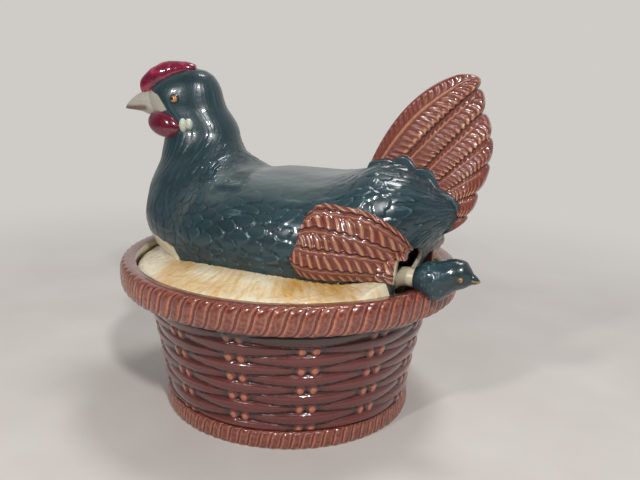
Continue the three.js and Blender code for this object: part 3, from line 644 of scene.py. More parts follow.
CRIMSON = Glaze("crimson_glaze", "3c0616", "741030", "a8324f", roughness=0.2, coat=1.0,
                mottle=0.2, speckle=0.5)
BEAK = Glaze("beak_glaze", "8c8475", "a8a396", "b9b5a9", mottle=0.06,
             patches=(Patch("mouth", "6b4f3f", 0.55, 0.2, 30.0),))
EYE = Glaze("eye_glaze", "6b4422", "b27c40", "c08e52", mottle=0.1,
            patches=(Patch("pupil", "0d0a09", 0.03), Patch("ring", "1c2a2e", 0.08)))
BILL = Glaze("bill_glaze", "121c1f", "21383f", "46656a", mottle=0.1,
             patches=(Patch("mouth", "8f7038", 0.2),))
LOBE = Glaze("lobe_glaze", "8f9c88", "b9c2ae", "cdd2c2", mottle=0.1)


# The basket


@dataclass
class Basket:
    """The woven bowl with its twisted rim and foot.

    Attributes hold radii and heights in millimetres and counts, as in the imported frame.
    """

    base_radius: float = 104.5
    top_radius: float = 121.0
    flare: float = 1.3
    weave_top: float = 104.0
    wall: float = 7.0
    floor: float = 8.0
    floor_rounding: float = 24.0
    stakes: int = 13
    pitch: float = 8.6
    weft_relief: float = 3.2
    stake_relief: float = 2.7
    foot_outer: float = 107.5
    foot_inner: float = 100.0
    foot_height: float = 15.0
    rim_outer: float = 145.0
    rim_band: float = 131.8
    rim_seat: float = 135.5
    rim_top: float = 130.0
    rim_bottom: float = 107.5
    ledge: float = 117.5
    ridges: int = 80
    seam: float = 0.3
    top_row: float = 10.0
    # Height from which painted shade darkens the wall up to the rim
    painted_shade_height: float = 95.0
    stake_steps: int = 44
    ridge_steps: int = 12
    knuckle_away: float = 4.7
    knuckle_half: float = 3.9
    knuckle_rise: float = 4.4
    rib_away: float = 4.6
    rib_half: float = 3.8
    weft_behind: float = 0.1
    floor_middle: float = 40.0
    base_middle: float = 60.0
    foot_gap: float = 0.3

    def radius(self, height: Array) -> Array:
        """Outside radius of the plain wall: the base radius flaring by a power of the height."""
        share = np.clip((height - self.foot_height) / (self.weave_top - self.foot_height), 0, 1)
        return self.base_radius + (self.top_radius - self.base_radius) * share ** self.flare

    def weave(self, angle: Array, height: Array) -> tuple[Array, Array]:
        """How far the weave stands out of the wall.

        Each weft is a lens: its half-height and its relief swing by a cosine from full over one
        stake pair to little behind the next. A stake pair shows as two domes where the weft is
        behind it, and as two ribs above the last weft.

        Args:
            angle: angle round the axis.
            height: height on the wall.

        Returns:
            Relief in millimetres, and tint from 0 to 1.
        """
        bottom = self.foot_height + self.seam
        stake = angle / TURN * self.stakes
        turns = (height - bottom) / self.pitch - stake / self.stakes + 1
        turns = turns + 0.05 * ripple(stake * 3, turns * 1.3, seed=2)
        away = np.abs(stake - np.round(stake)) * TURN * self.base_radius / self.stakes
        relief = np.zeros_like(turns)
        domes = np.zeros_like(turns)
        for other in (-1, 0, 1):
            row = np.floor(turns) + other
            over = 0.5 + 0.5 * np.cos((stake + row) * math.pi)
            behind = 0.5 - 0.5 * np.cos((np.round(stake) + row) * math.pi)
            half = 0.25 + 0.33 * over ** 0.75
            offset = turns - row - 0.5
            lens = np.sqrt(np.clip(1 - np.abs(offset / half) ** 2.5, 0, 1))
            inside = (row + 0.2) * self.pitch < self.weave_top - bottom - 4
            crossing = self.weft_behind + (self.weft_relief - self.weft_behind) * over ** 0.7
            relief = np.maximum(relief, inside * lens * crossing)
            dome = 1 - ((away - self.knuckle_away) / self.knuckle_half) ** 2
            dome = dome - (offset * self.pitch / self.knuckle_rise) ** 2
            domes = np.maximum(domes, inside * (behind > 0.5) * np.sqrt(np.clip(dome, 0, 1)))
        top = soft(turns, self.top_row - 0.4, self.top_row)
        rib = 1 - ((away - self.rib_away) / self.rib_half) ** 2
        rib = np.sqrt(np.clip(rib, 0, 1)) * top
        ends = soft(height, bottom, bottom + 3)
        ends = ends * soft(-height, -self.rim_bottom, -self.rim_bottom + 4)
        stakes = self.stake_relief * np.maximum(domes, 0.6 * rib)
        tint = np.where(stakes > relief, 0.15 + 0.8 * soft(domes, 0.2, 0.95) + 0.35 * rib,
                        0.04 + 0.56 * soft(relief, 0.1, 1.9))
        return np.maximum(relief, stakes) * ends, tint * (0.3 + 0.7 * ends)

    def bowl_sheet(self, rows: int = 118) -> Sheet:
        """The bowl as one closed sheet from the middle of its base, up outside and down inside.

        The outline is carried round, and the weave's relief moves its outer wall outwards.

        Args:
            rows: steps up the woven wall.

        Returns:
            A closed sheet with the basket glaze's values and patches, one of them painted shade.
        """
        columns = self.stakes * self.stake_steps
        bottom = self.foot_height + self.seam
        heights = np.linspace(bottom, self.weave_top, rows)
        outside = np.stack([self.radius(heights), heights], 1)
        inner_base = self.radius(np.array(self.foot_height)) - self.wall
        turn = np.linspace(0, math.pi / 2, 8)
        rounding = np.stack([inner_base - self.floor_rounding * (1 - np.sin(turn)),
                             self.floor + self.floor_rounding * (1 - np.cos(turn))], 1)
        rise = np.linspace(self.floor + self.floor_rounding, self.weave_top, 6)[1:]
        inner_wall = np.stack([self.radius(rise) - self.wall, rise], 1)
        mouth = self.top_radius - self.wall + 1.2
        seat = self.rim_seat - self.seam
        lip = rounded([(self.top_radius, self.weave_top), (seat, self.rim_bottom - self.seam),
                       (seat, self.ledge), (mouth, self.ledge), (mouth, self.ledge - 10.2),
                       tuple(inner_wall[-1])], radius=1.2, steps=3)[1:-1]
        hollow = self.foot_inner - self.foot_gap
        foot = np.array([(0, 0), (self.base_middle, 0), (hollow, 0), (hollow, bottom)])
        middle = [(self.floor_middle, self.floor), (0, self.floor)]
        profile = np.concatenate([foot, outside, lip, inner_wall[::-1], rounding[::-1], middle])
        sheet = lathe(profile, columns)
        points, grid = sheet.points, sheet.points.shape[:2]
        angle = np.broadcast_to(ring(columns), grid)
        span = slice(len(foot), len(foot) + rows)
        relief, tint = np.zeros(grid), np.full(grid, 0.5)
        relief[span], tint[span] = self.weave(angle[span], points[span, :, 2])
        points = points + around(1.0, angle, 0.0) * relief[..., None]
        step = np.arange(len(profile))[:, None]
        inside = np.where(step > len(foot) + rows + 8, 1.0, -1.0)
        dry = np.where(step < len(foot) - 1, 1.0, -1.0)
        height = points[..., 2]
        # The shade value paints shade: a dark band on the wall under the overhanging rim.
        return Sheet(points, plain(
            points, tint, tone=0.5 + 0.3 * ripple(angle * 9, height / 9, seed=5),
            inside=np.broadcast_to(inside, grid), dry=np.broadcast_to(dry, grid),
            shade=(height - self.painted_shade_height) / 6))

    def rope_sheet(self, inner: float, outer: float, bottom: float, top: float,
                   inside: Profile, relief: float, lean: float, samples: int) -> Sheet:
        """A twisted rope: a rounded section carried round the axis, grooved between its strands.

        The groove's depth is one less a power of the sine of the strand count times the angle,
        which shifts with the way up the section, so that the strands lean.

        Args:
            inner: radius where the round part starts.
            outer: greatest radius.
            bottom: lowest height.
            top: highest height.
            inside: the plain part of the section, by radius and height, from the top down.
            relief: groove depth.
            lean: how far a strand leans between bottom and top.
            samples: steps on the round part.

        Returns:
            A ring that is closed both ways.
        """
        share = np.linspace(0, 1, samples)
        swing = (share - 0.5) * math.pi
        weight = np.abs(np.cos(swing)) ** 0.5
        radius = inner + (outer - inner) * weight
        height = bottom + (top - bottom) * (0.5 + 0.5 * power(np.sin(swing), 0.9))
        plain_part = np.array(inside)
        radius = np.concatenate([radius, plain_part[:, 0]])
        height = np.concatenate([height, plain_part[:, 1]])
        weight = np.concatenate([weight, np.zeros(len(inside))])
        travel = share + 0.16 * np.sin(share * TURN) / 2
        travel = np.concatenate([travel, np.linspace(1, 0, len(inside))])
        angle = ring(self.ridges * self.ridge_steps)[:, None]
        strand = self.ridges * (angle - lean * travel / radius) / TURN
        strand = strand + 0.10 * ripple(strand * 0.37 + 7, travel, seed=4)
        groove = np.abs(np.sin(strand * math.pi)) ** 0.55
        number = np.mod(np.floor(strand), self.ridges)
        proud = 0.35 * (scatter(number, seed=8) - 0.5)
        out = radius + weight * (relief * (groove - 1) + proud * groove)
        points = around(out, angle, height)
        edge = np.exp(-((groove - 0.62) / 0.14) ** 2)
        tint = 0.80 - 0.8 * weight * soft(0.5 - groove, 0, 0.35) + 0.22 * weight * edge
        bare = np.where(np.arange(len(radius)) > samples, 1.0, -1.0)
        # The rope gets none of the painted shade.
        return Sheet(points, plain(
            points, np.clip(tint, 0, 1), tone=scatter(number, seed=9),
            dry=np.where(points[..., 2] < 0.6, 1.0, -1.0), inside=np.broadcast_to(bare, out.shape),
            shade=np.full(out.shape, OFF)), closed_rows=True)

    def build(self) -> None:
        """Makes the bowl, the rim and the foot."""
        material = BASKET.material()
        bowl = mesh_object("woven_bowl", [self.bowl_sheet()], material)
        settle(bowl, Body.BASKET, "basket_glaze", "basket_bowl")
        band = [(self.rim_band + 0.8, self.rim_top - 0.2), (self.rim_band, self.rim_top - 1.2),
                (self.rim_band, self.ledge + self.seam), (self.rim_seat, self.ledge + self.seam),
                (self.rim_seat, self.rim_bottom)]
        start = self.rim_seat + 0.3 * (self.rim_outer - self.rim_seat)
        rim = self.rope_sheet(start, self.rim_outer, self.rim_bottom, self.rim_top, band,
                              relief=2.6, lean=17.0, samples=26)
        rim = mesh_object("twisted_rim", [rim], material)
        settle(rim, Body.BASKET, "basket_glaze", "rim_rope")
        start = self.foot_inner + 0.5 * (self.foot_outer - self.foot_inner)
        back = [(self.foot_inner, self.foot_height), (self.foot_inner, 0.0)]
        foot = self.rope_sheet(start, self.foot_outer, 0.0, self.foot_height, back,
                               relief=1.9, lean=8.0, samples=16)
        foot = mesh_object("twisted_foot", [foot], material)
        settle(foot, Body.BASKET, "basket_glaze", "foot_rope")


# The nest

# Layers of straw: the way they lie in degrees, width and length of a straw
STRAW_LAYERS = ((80, 3.0, 26), (58, 2.6, 22), (105, 2.8, 24), (130, 3.2, 20), (35, 2.8, 24),
                (12, 3.4, 30))


@dataclass
class Nest:
    """The straw mound that carries the hen, with the ladle's notch through it."""

    edge_radius: float = 130.6
    edge_bottom: float = 117.8
    edge_height: float = 3.4
    shoulder_width: float = 5.0
    shoulder_rise: float = 3.4
    slope: float = 0.34
    crown: float = 137.0
    crown_radius: float = 84.0
    ring_outer: float = 114.0
    ring_inner: float = 108.0
    ring_bottom: float = 108.8
    well_x: float = 102.0
    well_y: float = 77.0
    notch_y: float = -38.0
    notch_half: float = 17.0
    notch_rise: float = 17.0
    jamb: float = 141.0
    collar_rise: float = 12.0
    collar_inner: float = 12.0
    collar_outer: float = 28.0
    well_middle: float = 95.0
    straw_radius: float = 110.0
    straw_sunk: float = 0.8

    def top(self, radius: Array, angle: Array) -> Array:
        """Height of the mound: up its edge and shoulder, then by its slope to the crown.

        Beside the notch the shoulder is raised, and the raise fades to the edge and to the crown.

        Args:
            radius: distance from the axis.
            angle: angle round it.

        Returns:
            Heights.
        """
        shoulder = self.edge_radius - self.shoulder_width
        edge_top = self.edge_bottom + self.edge_height
        outside = np.clip((self.edge_radius - radius) / self.shoulder_width, 0, 1)
        rise = edge_top + self.shoulder_rise * np.sqrt(outside)
        slope = edge_top + self.shoulder_rise + (shoulder - radius) * self.slope
        crown = shoulder - (self.crown - edge_top - self.shoulder_rise) / self.slope
        inside = np.clip((radius - crown) / (shoulder - crown), 0, 1)
        middle = math.asin(self.notch_y / self.edge_radius)
        away = np.degrees(np.abs(np.mod(angle - middle + math.pi, TURN) - math.pi))
        collar = self.collar_rise * (1 - soft(away, self.collar_inner, self.collar_outer))
        plain_top = np.where(radius > shoulder, rise, np.minimum(slope, self.crown))
        return plain_top + collar * np.minimum(inside, outside)

    def straws(self, round_way: Array, inward: Array) -> tuple[Array, Array]:
        """Lengths of straw laid over each other.

        Each layer turns the surface to its own direction and splits it into lanes. A straw is half
        a circle across its lane and fades at both ends. The highest layer shows.

        Args:
            round_way: way round the mound in millimetres.
            inward: way in from its edge in millimetres.

        Returns:
            Relief from 0 to 1, and a random value for each straw.
        """
        best = np.zeros_like(inward)
        tone = np.full_like(inward, 0.5)
        for layer, (lean, width, length) in enumerate(STRAW_LAYERS):
            turn = math.radians(lean)
            bend = 2.2 * ripple(round_way / 24, inward / 24, seed=layer + 20)
            along = (round_way * math.cos(turn) + inward * math.sin(turn) + bend) / length
            across = (-round_way * math.sin(turn) + inward * math.cos(turn) + bend) / width
            lane = np.floor(across)
            along = along + scatter(lane, seed=layer + 40) * 7
            cell = np.floor(along)
            chosen = scatter(lane, cell, seed=layer)
            dome = np.sqrt(np.clip(1 - (2 * (across - lane) - 1) ** 2, 0, 1))
            ends = soft(1 - np.abs(2 * (along - cell) - 1), 0, 0.25)
            height = dome * ends * (0.35 + 0.65 * chosen) * (chosen > 0.25)
            tone = np.where(height > best, scatter(lane, cell, seed=layer + 60), tone)
            best = np.maximum(best, height)
        return best, tone

    def sheet(self, columns: int = 900, rows: int = 64) -> Sheet:
        """The mound as a ring-shaped section carried from one side of the notch to the other.

        Args:
            columns: sections round the mound.
            rows: points on the mound's top in each section.

        Returns:
            A closed sheet.
        """
        radii = np.linspace(self.edge_radius, self.crown_radius, rows)
        share = np.linspace(0, 1, columns)[:, None]
        sides = (self.notch_y + self.notch_half, self.notch_y - self.notch_half)

        def angles(radius: Array) -> Array:
            """Angles from the notch's one side to its other at a radius."""
            start = np.arcsin(sides[0] / radius)
            return start + share * (TURN + np.arcsin(sides[1] / radius) - start)

        rough = angles(np.full((1, 1), self.well_middle))
        well = (np.cos(rough) / self.well_x) ** 2 + (np.sin(rough) / self.well_y) ** 2
        inner = 1 / np.sqrt(well)
        reach = (self.edge_radius - radii) / (self.edge_radius - self.crown_radius)
        top_radius = self.edge_radius + (inner - self.edge_radius) * reach
        under = [(self.ring_inner, self.edge_bottom), (self.ring_inner, self.ring_bottom),
                 (self.ring_outer, self.ring_bottom), (self.ring_outer, self.edge_bottom),
                 (self.edge_radius, self.edge_bottom)]
        radius = np.concatenate([top_radius, inner]
                                + [np.full_like(inner, r) for r, _ in under], 1)
        angle = angles(radius)
        height = self.top(top_radius, angle[:, :rows])
        straw, tone = self.straws(angle[:, :rows] * self.straw_radius,
                                  self.edge_radius - top_radius)
        fade = soft(np.minimum(reach * 22, share * columns / 6), 0, 1)
        fade = fade * soft((1 - share) * columns / 6, 0, 1)
        height = height + (straw - self.straw_sunk) * fade
        low = [np.full_like(inner, h) for h in (self.edge_bottom, *(h for _, h in under))]
        height = np.concatenate([height] + low, 1)
        pad = np.zeros((columns, len(low)))
        gold = 0.9 * ripple(np.cos(angle) * 4, np.sin(angle) * 4, radius / 14, seed=3)
        gold = gold - 0.1 - 1.1 * soft(-radius * np.cos(angle), 50, 85)
        values = {
            "relief": np.concatenate([0.3 + 0.4 * straw, pad + 0.5], 1),
            "tone": np.concatenate([tone, pad + 0.5], 1),
            "gold": np.concatenate([gold[:, :rows], pad + OFF], 1),
            "inside": np.concatenate([straw * 0 - 1, pad + 1], 1),
            "flow": np.stack([angle * 30, radius * 0.08, height * 0.02], -1),
        }
        return Sheet(around(radius, angle, height), values, capped=True)

    def build(self) -> None:
        """Makes the mound."""
        mound = mesh_object("straw_nest", [self.sheet()], STRAW.material())
        settle(mound, Body.LID, "straw_glaze", "nest_straw")


# The hen

# Stations from the rump's tip to the crown: way along, rail x, rail height, tilt of the section in
# degrees, inner and outer distance from the rail, half-width, skew of the widest place, head's turn
HEN_STATIONS = np.array([
    (0, 147.0, 230, 0, 44.5, 45.5, 0.5, 1.0, 0),
    (3, 145.8, 230, 0, 41.0, 50.0, 7, 1.0, 0),
    (12, 141.0, 230, 0, 35.0, 57.0, 18, 1.0, 0),
    (24, 132.0, 230, 0, 29.0, 68.0, 31, 1.0, 0),
    (37, 122.0, 230, 0, 20.0, 87.0, 43, 1.0, 0),
    (52, 110.0, 230, 0, 13.0, 110.0, 55, 1.0, 0),
    (74, 89.0, 230, 0, 10.0, 124.0, 68, 1.0, 0),
    (100, 63.0, 230, 0, 20.5, 128.0, 80, 1.02, 0),
    (133, 30.0, 230, 0, 25.2, 128.0, 88, 1.03, 0),
    (174, -11.0, 230, 0, 26.0, 128.0, 89, 1.03, 0),
    (203, -40.0, 230, 0, 29.0, 128.0, 85, 1.0, 0),
    (224, -40.0, 230, 15, 26.5, 126.0, 80, 0.97, 0.04),
    (246, -40.0, 230, 30, 22.5, 128.0, 71, 0.86, 0.15),
    (269, -40.0, 230, 45, 20.0, 126.0, 60, 0.76, 0.32),
    (290, -40.0, 230, 60, 19.0, 111.0, 47, 0.83, 0.58),
    (307, -40.0, 230, 75, 18.8, 90.5, 33.5, 0.92, 0.86),
    (322, -40.0, 230, 90, 19.3, 84.5, 27.5, 1.0, 1.0),
    (329, -40.0, 237, 90, 21.6, 86.5, 26, 1.0, 1.0),
    (336, -40.0, 244, 90, 26.0, 92.0, 24.5, 1.0, 1.0),
    (343, -40.0, 251, 90, 30.6, 97.5, 23.2, 1.0, 1.0),
    (350, -40.0, 258, 90, 33.2, 99.5, 22.4, 1.0, 1.0),
    (357, -40.0, 265, 90, 35.0, 97.0, 21.0, 1.0, 1.0),
    (364, -40.0, 272, 90, 38.0, 90.0, 18.5, 1.0, 1.0),
    (371, -40.0, 278, 90, 42.5, 79.0, 14.5, 1.0, 1.0),
    (378, -40.0, 282, 90, 49.0, 68.0, 9.0, 1.0, 1.0),
    (384, -40.0, 283.6, 90, 57.0, 58.0, 0.5, 1.0, 1.0),
])
TRUNK_STATIONS = 11

# Feathers by the way along: length of a row, how far they stand out, and how clearly they show
ROW_LENGTH = ((0, 60, 110, 200, 250, 290, 330, 384), (11, 12, 12, 12, 13, 18, 24, 20))
FEATHER_WAY = (0, 20, 110, 150, 190, 230, 270, 300, 325, 345, 384)
STRENGTH = (0.9, 1.0, 0.9, 0.8, 0.75, 0.6, 0.45, 0.3, 0.16, 0.08, 0.03)
SHOWN = (0.9, 1.0, 1.0, 1.0, 1.0, 0.8, 0.5, 0.3, 0.2, 0.12, 0.05)
# Height of the cream belly's edge by length, and the bare face's front edge by height
BELLY_EDGE = ((-147, -120, -99, -71, -60, -46), (150, 148, 145.5, 142.5, 133, 126))
FACE_EDGE = ((240, 246, 248.5, 254, 261, 265), (38, 30, 23, 26.5, 31.5, 42))
FACE_LOW, FACE_HIGH = 240, 266


@dataclass
class Hen:
    """The nesting hen: body, head, wings, tail, comb and face."""

    nest: Nest
    pivot_x: float = -95.0
    head_turn: float = 20.0
    fullness: float = 0.87
    wall: float = 6.0
    feather_columns: int = 34
    feather_lift: float = 1.3
    hem_flare: float = 6.0
    hood_wall: float = 5.0
    hood_start: float = 90.0
    hood_face: float = 116.0
    hood_cover: float = 2.0
    trim_top: float = 155.3
    cut_bottom: float = 60.0
    well_top: float = 145.0
    under_gap: float = 1.2
    under_side: float = 190.0
    under_floor: float = 20.0
    rim_clear: float = 131.2
    room: tuple[float, float] = (8, 330)
    way_start: float = 72.0
    way_end: float = 160.0
    chick_room: float = 2.2
    trim_gap: float = 0.35
    trim_end: float = 170.0
    trim_sides: tuple[float, float] = (5.0, -100.0)
    hem_height: tuple[float, float] = (127, 142)
    hem_front: tuple[float, float] = (-86, -64)
    hem_back: tuple[float, float] = (18, 40)
    back_width: tuple[float, float] = (0.45, 0.9)
    back_start: tuple[float, float] = (80, 120)
    back_end: tuple[float, float] = (205, 250)

    def station(self, way: Array) -> Array:
        """All station values along the hen: the rail by straight steps, the sections smoothly.

        Args:
            way: ways along the rail.

        Returns:
            The eight values after the way, along a new last axis.
        """
        rail = [np.interp(way, HEN_STATIONS[:, 0], HEN_STATIONS[:, k]) for k in (1, 2, 3)]
        section = [eased(way, HEN_STATIONS[:, 0], HEN_STATIONS[:, k]) for k in range(4, 9)]
        return np.stack(rail + section, -1)

    def at_head(self, ahead: Array, left: Array, height: Array,
                turn: Array | float = 1.0) -> Array:
        """Points of the head's own frame, turned about its upright pivot line.

        Args:
            ahead: distance ahead of the pivot line.
            left: distance to her left.
            height: height.
            turn: share of the head's turn.

        Returns:
            Points in the shared frame.
        """
        angle = np.radians(self.head_turn) * turn
        x = self.pivot_x - ahead * np.cos(angle) + left * np.sin(angle)
        y = -ahead * np.sin(angle) - left * np.cos(angle)
        return np.stack(np.broadcast_arrays(x, y, height), -1)

    def skin(self, way: Array, round_way: Array, grow: float = 0.0) -> Array:
        """The smooth outside of the hen.

        Sections stand across a rail that runs over the back, fans round the nape and climbs the
        neck. Each is a rounded oval between its inner and outer distance from the rail.

        Args:
            way: way along the rail, as a column.
            round_way: angle round the section, 0 on the back.
            grow: how far it is grown outwards.

        Returns:
            Points by way and angle.
        """
        rail_x, rail_z, tilt, inner, outer, half, skew, turn = np.moveaxis(
            self.station(way), -1, 0)
        cosine = power(np.cos(round_way), self.fullness)
        share = (0.5 - 0.5 * cosine) ** skew
        ease = np.minimum(1, half / 12)
        far = inner - grow * ease + (outer - inner + 2 * grow * ease) * share
        left = (half + grow * ease) * power(np.sin(round_way), self.fullness)
        tilt = np.radians(tilt)
        ahead = self.pivot_x - rail_x + far * np.sin(tilt)
        return self.at_head(ahead, left, rail_z - far * np.cos(tilt), turn)

    def flank(self, x: Array, z: Array, hooded: bool) -> Array:
        """Distance of the body's side from the middle plane at a length and height.

        It solves the oval of the section at x for the half-width at z, and takes the hood's side
        where that stands out further.

        Args:
            x: length.
            z: height.
            hooded: whether the hood round the notch is on this side.

        Returns:
            Distance to the side.
        """
        trunk = HEN_STATIONS[:TRUNK_STATIONS]
        way = np.interp(-x, -trunk[:, 1], trunk[:, 0])
        _, rail_z, _, inner, outer, half, skew, _ = np.moveaxis(self.station(way), -1, 0)
        share = np.clip((rail_z - z - inner) / (outer - inner), 0, 1) ** (1 / skew)
        cosine = np.abs(1 - 2 * share) ** (1 / self.fullness)
        side = half * np.clip(1 - cosine ** 2, 0, 1) ** (self.fullness / 2)
        if not hooded:
            return side
        nest = self.nest
        up = np.clip((z - nest.jamb) / (nest.notch_rise + self.hood_wall), 0, 1)
        arch = (nest.notch_half + self.hood_wall) * np.sqrt(1 - up ** 2)
        hood = -nest.notch_y + arch - self.hood_cover
        reached = soft(x, self.hood_start - 4, self.hood_start + 4)
        return side + np.maximum(hood - side, 0) * reached

    def body_sheet(self, rows: int = 328, columns: int = 332) -> Sheet:
        """The body with its feathers standing out of the skin.

        Feathers follow rows along the rail and columns round it, both bent by smooth noise. Their
        height is weighted by the place: full on the rump, low on neck and head and on the back,
        where long grey strokes run instead. The hem over the straw flares out.

        Args:
            rows: sections along the rail.
            columns: steps round each section.

        Returns:
            A closed sheet with the values of the teal glaze and its patches.
        """
        way = np.linspace(HEN_STATIONS[0, 0], HEN_STATIONS[-1, 0], rows)[:, None]
        angle = ring(columns)
        round_way = (angle - 0.3 * np.sin(angle))[None]
        points = self.skin(way, round_way)
        out = outward(points)
        circle = [np.cos(round_way) * 2.4, np.sin(round_way) * 2.4]
        along = -np.cumsum(1 / eased(way, *ROW_LENGTH), 0) * (way[1, 0] - way[0, 0])
        bend = ripple(along * 0.4, *circle, seed=1)
        drift = ripple(along * 0.5, *(c * 1.6 for c in circle), seed=2)
        across = round_way / TURN * self.feather_columns + 0.7 * drift
        feather, tone, outline = shingles(along + bend + 900, across, self.feather_columns)
        back = soft(np.cos(round_way), *self.back_width) * soft(way, *self.back_start)
        back = back * soft(-way, -self.back_end[1], -self.back_end[0])
        strength = eased(way, FEATHER_WAY, STRENGTH) * (1 - 0.75 * back)
        shown = eased(way, FEATHER_WAY, SHOWN) * (1 - 0.85 * back)
        lift = strength * (feather + 0.10 * outline - 0.45)
        points = points + out * (self.feather_lift * lift)[..., None]
        x, y, height = np.moveaxis(points, -1, 0)
        hem = (1 - soft(height, *self.hem_height)) * soft(x, *self.hem_front)
        hem = hem * (1 - soft(x, *self.hem_back))
        hem = hem * (0.75 + 0.5 * ripple(x / 8, height / 16, seed=6))
        points[..., 1] += np.sign(y) * self.hem_flare * hem
        fine = [np.cos(round_way) * 9, np.sin(round_way) * 9]
        strokes = ripple(way / 40, *fine, seed=12)
        return Sheet(points, {
            "relief": np.clip(0.32 + shown * (0.16 * feather + 0.34 * outline), 0, 1),
            "tone": 0.5 + (tone - 0.5) * shown,
            "belly": (np.interp(x, *BELLY_EDGE) - height) / 6,
            "face": self.bare_face(points),
            "grey": back * (0.8 + 1.0 * strokes) - 0.8,
            "flow": np.stack(np.broadcast_arrays(along * 0.45, *fine), -1),
        }, capped=True)

    def bare_face(self, points: Array) -> Array:
        """How far points of the body lie inside the pale skin round the beak.

        It is half the least of the ways past its front edge, over its lower and under its upper
        height.

        Args:
            points: points of the body.

        Returns:
            Half the millimetres, and never less than -3.
        """
        turn = math.radians(self.head_turn)
        ahead = -(points[..., 0] - self.pivot_x) * math.cos(turn) - points[..., 1] * math.sin(turn)
        height = points[..., 2]
        past = ahead - np.interp(height, *FACE_EDGE)
        inside = np.minimum(height - FACE_LOW, FACE_HIGH - height)
        return np.maximum(np.minimum(past, inside) / 2, -3)

    def hollow(self) -> list[Object]:
        """The room inside the hen and the well under it, as cutters.

        The room is the skin drawn in by the wall, the well an upright oval.

        Returns:
            Both cutters.
        """
        cream = CREAM.material()
        way = np.linspace(*self.room, 70)[:, None]
        turn = np.linspace(0, TURN, 48, endpoint=False)[None]
        room = Sheet(self.skin(way, turn, -self.wall), capped=True)
        turn = np.linspace(0, TURN, 72, endpoint=False)
        oval = around(1.0, turn, 1.0) * (self.nest.well_x, self.nest.well_y, 1.0)
        well = Sheet(np.stack([oval * (1, 1, z) for z in (self.cut_bottom, self.well_top)]),
                     capped=True)
        return [mesh_object("room", [room], cream), mesh_object("well", [well], cream)]

    def under(self) -> Object:
        """Everything below the straw and the rim's top, as a cutter.

        Its top follows the mound a little below the straw.

        Returns:
            The cutter.
        """
        nest = self.nest
        angle = ring(240)[None]
        radius = np.linspace(nest.edge_radius - 1, 40, 30)[:, None]
        mound = nest.top(radius, angle) - self.under_gap
        outer = np.array([0, self.under_side, self.under_side, nest.edge_radius])[:, None]
        low = np.repeat([self.under_floor, self.rim_clear], 2)[:, None] + 0 * angle
        radius = np.concatenate([outer, radius, [[0.0]]])
        height = np.concatenate([low, mound, mound[-1:]])
        return mesh_object("under", [Sheet(around(radius, angle, height))], CREAM.material())

    def arch(self, name: str, grow: float, rows: Profile, material: Material) -> Object:
        """A block with straight jambs and an arched top that follows the notch.

        Args:
            name: the block's name.
            grow: how far it is wider and higher than the notch.
            rows: length of each section, and how far its edge is drawn in.
            material: its finish.

        Returns:
            The block, with the body's values at its points.
        """
        nest = self.nest
        turn = np.linspace(0, math.pi, 33)
        sections = []
        for x, inset in rows:
            half, rise = nest.notch_half + grow - inset, nest.notch_rise + grow - inset
            y = np.concatenate([[half], half * np.cos(turn), [-half]]) + nest.notch_y
            z = np.pad(nest.jamb + rise * np.sin(turn), 1, constant_values=self.cut_bottom)
            sections.append(np.stack([np.full_like(y, x), y, z], -1))
        points = np.stack(sections)
        even = np.full(points.shape[:2], 0.4)
        away = {key: even - 3 for key in ("belly", "face", "grey", "collar")}
        values = plain(points, even, tone=even, flow=points * 0.1, **away)
        return mesh_object(name, [Sheet(points, values, capped=True)], material)

    def notch(self) -> Object:
        """The arched way for the ladle's stem, wider past the hood where the chick tilts.

        Returns:
            The cutter.
        """
        face = self.hood_face
        rows = [(self.way_start, 0.0), (face + 1, 0.0), (face + 4, -self.chick_room),
                (self.way_end, -self.chick_room)]
        return self.arch("way", 0.0, rows, CREAM.material())

    def hood(self) -> Object:
        """The hood that reaches out round the notch, with a rounded outer edge.

        Returns:
            The block to join to the body.
        """
        face = self.hood_face
        rows = [(self.hood_start, 0.0), (face - 2.0, 0.0), (face - 0.8, 0.4), (face - 0.2, 1.2),
                (face, 2.2)]
        return self.arch("hood", self.hood_wall, rows, TEAL.material())

    def past_hood(self) -> Object:
        """The space past the hood's face, in which the wing's lower feathers end.

        Returns:
            The cutter.
        """
        low, high = self.cut_bottom, self.trim_top
        y, z = np.repeat(self.trim_sides, 2), np.array([low, high, high, low])
        ends = [np.stack([np.full_like(y, x), y, z], -1)
                for x in (self.hood_face + self.trim_gap, self.trim_end)]
        return mesh_object("past", [Sheet(np.stack(ends), capped=True)], CREAM.material())

    def build_body(self) -> None:
        """Makes the hollow feathered body, open underneath and notched for the ladle."""
        body = mesh_object("hen_feathers", [self.body_sheet()], TEAL.material())
        shape(body, "UNION", self.hood())
        shape(body, "DIFFERENCE", *self.hollow(), self.under(), self.notch())
        settle(body, Body.LID, "teal_glaze", "hen_body")

    def build(self) -> None:
        """Makes the body and everything on it."""
        self.build_body()
        Wing(self).build()
        Tail().build()
        Face(self).build()


# Lines across the left wing from its top edge to its bottom edge, each by length and height
WING_LINES = (
    ((50, 181), (62, 192.5), (84, 192), (103, 185.5), (117, 173.5), (123, 160)),
    ((48, 178), (62, 187.5), (84, 187), (103, 180.5), (116, 169.5), (122.5, 158.5)),
    ((46, 172), (60, 176), (78, 174), (96, 169), (112, 162), (124, 156)),
    ((46, 164), (58, 162), (74, 161), (92, 158.5), (109, 154.5), (128, 150)),
    ((41, 153), (54, 148.5), (72, 147), (88, 146), (105, 144.5), (128, 142)),
    ((48, 140), (58, 134.5), (73, 134), (88, 134), (104, 134), (128, 134)),
)


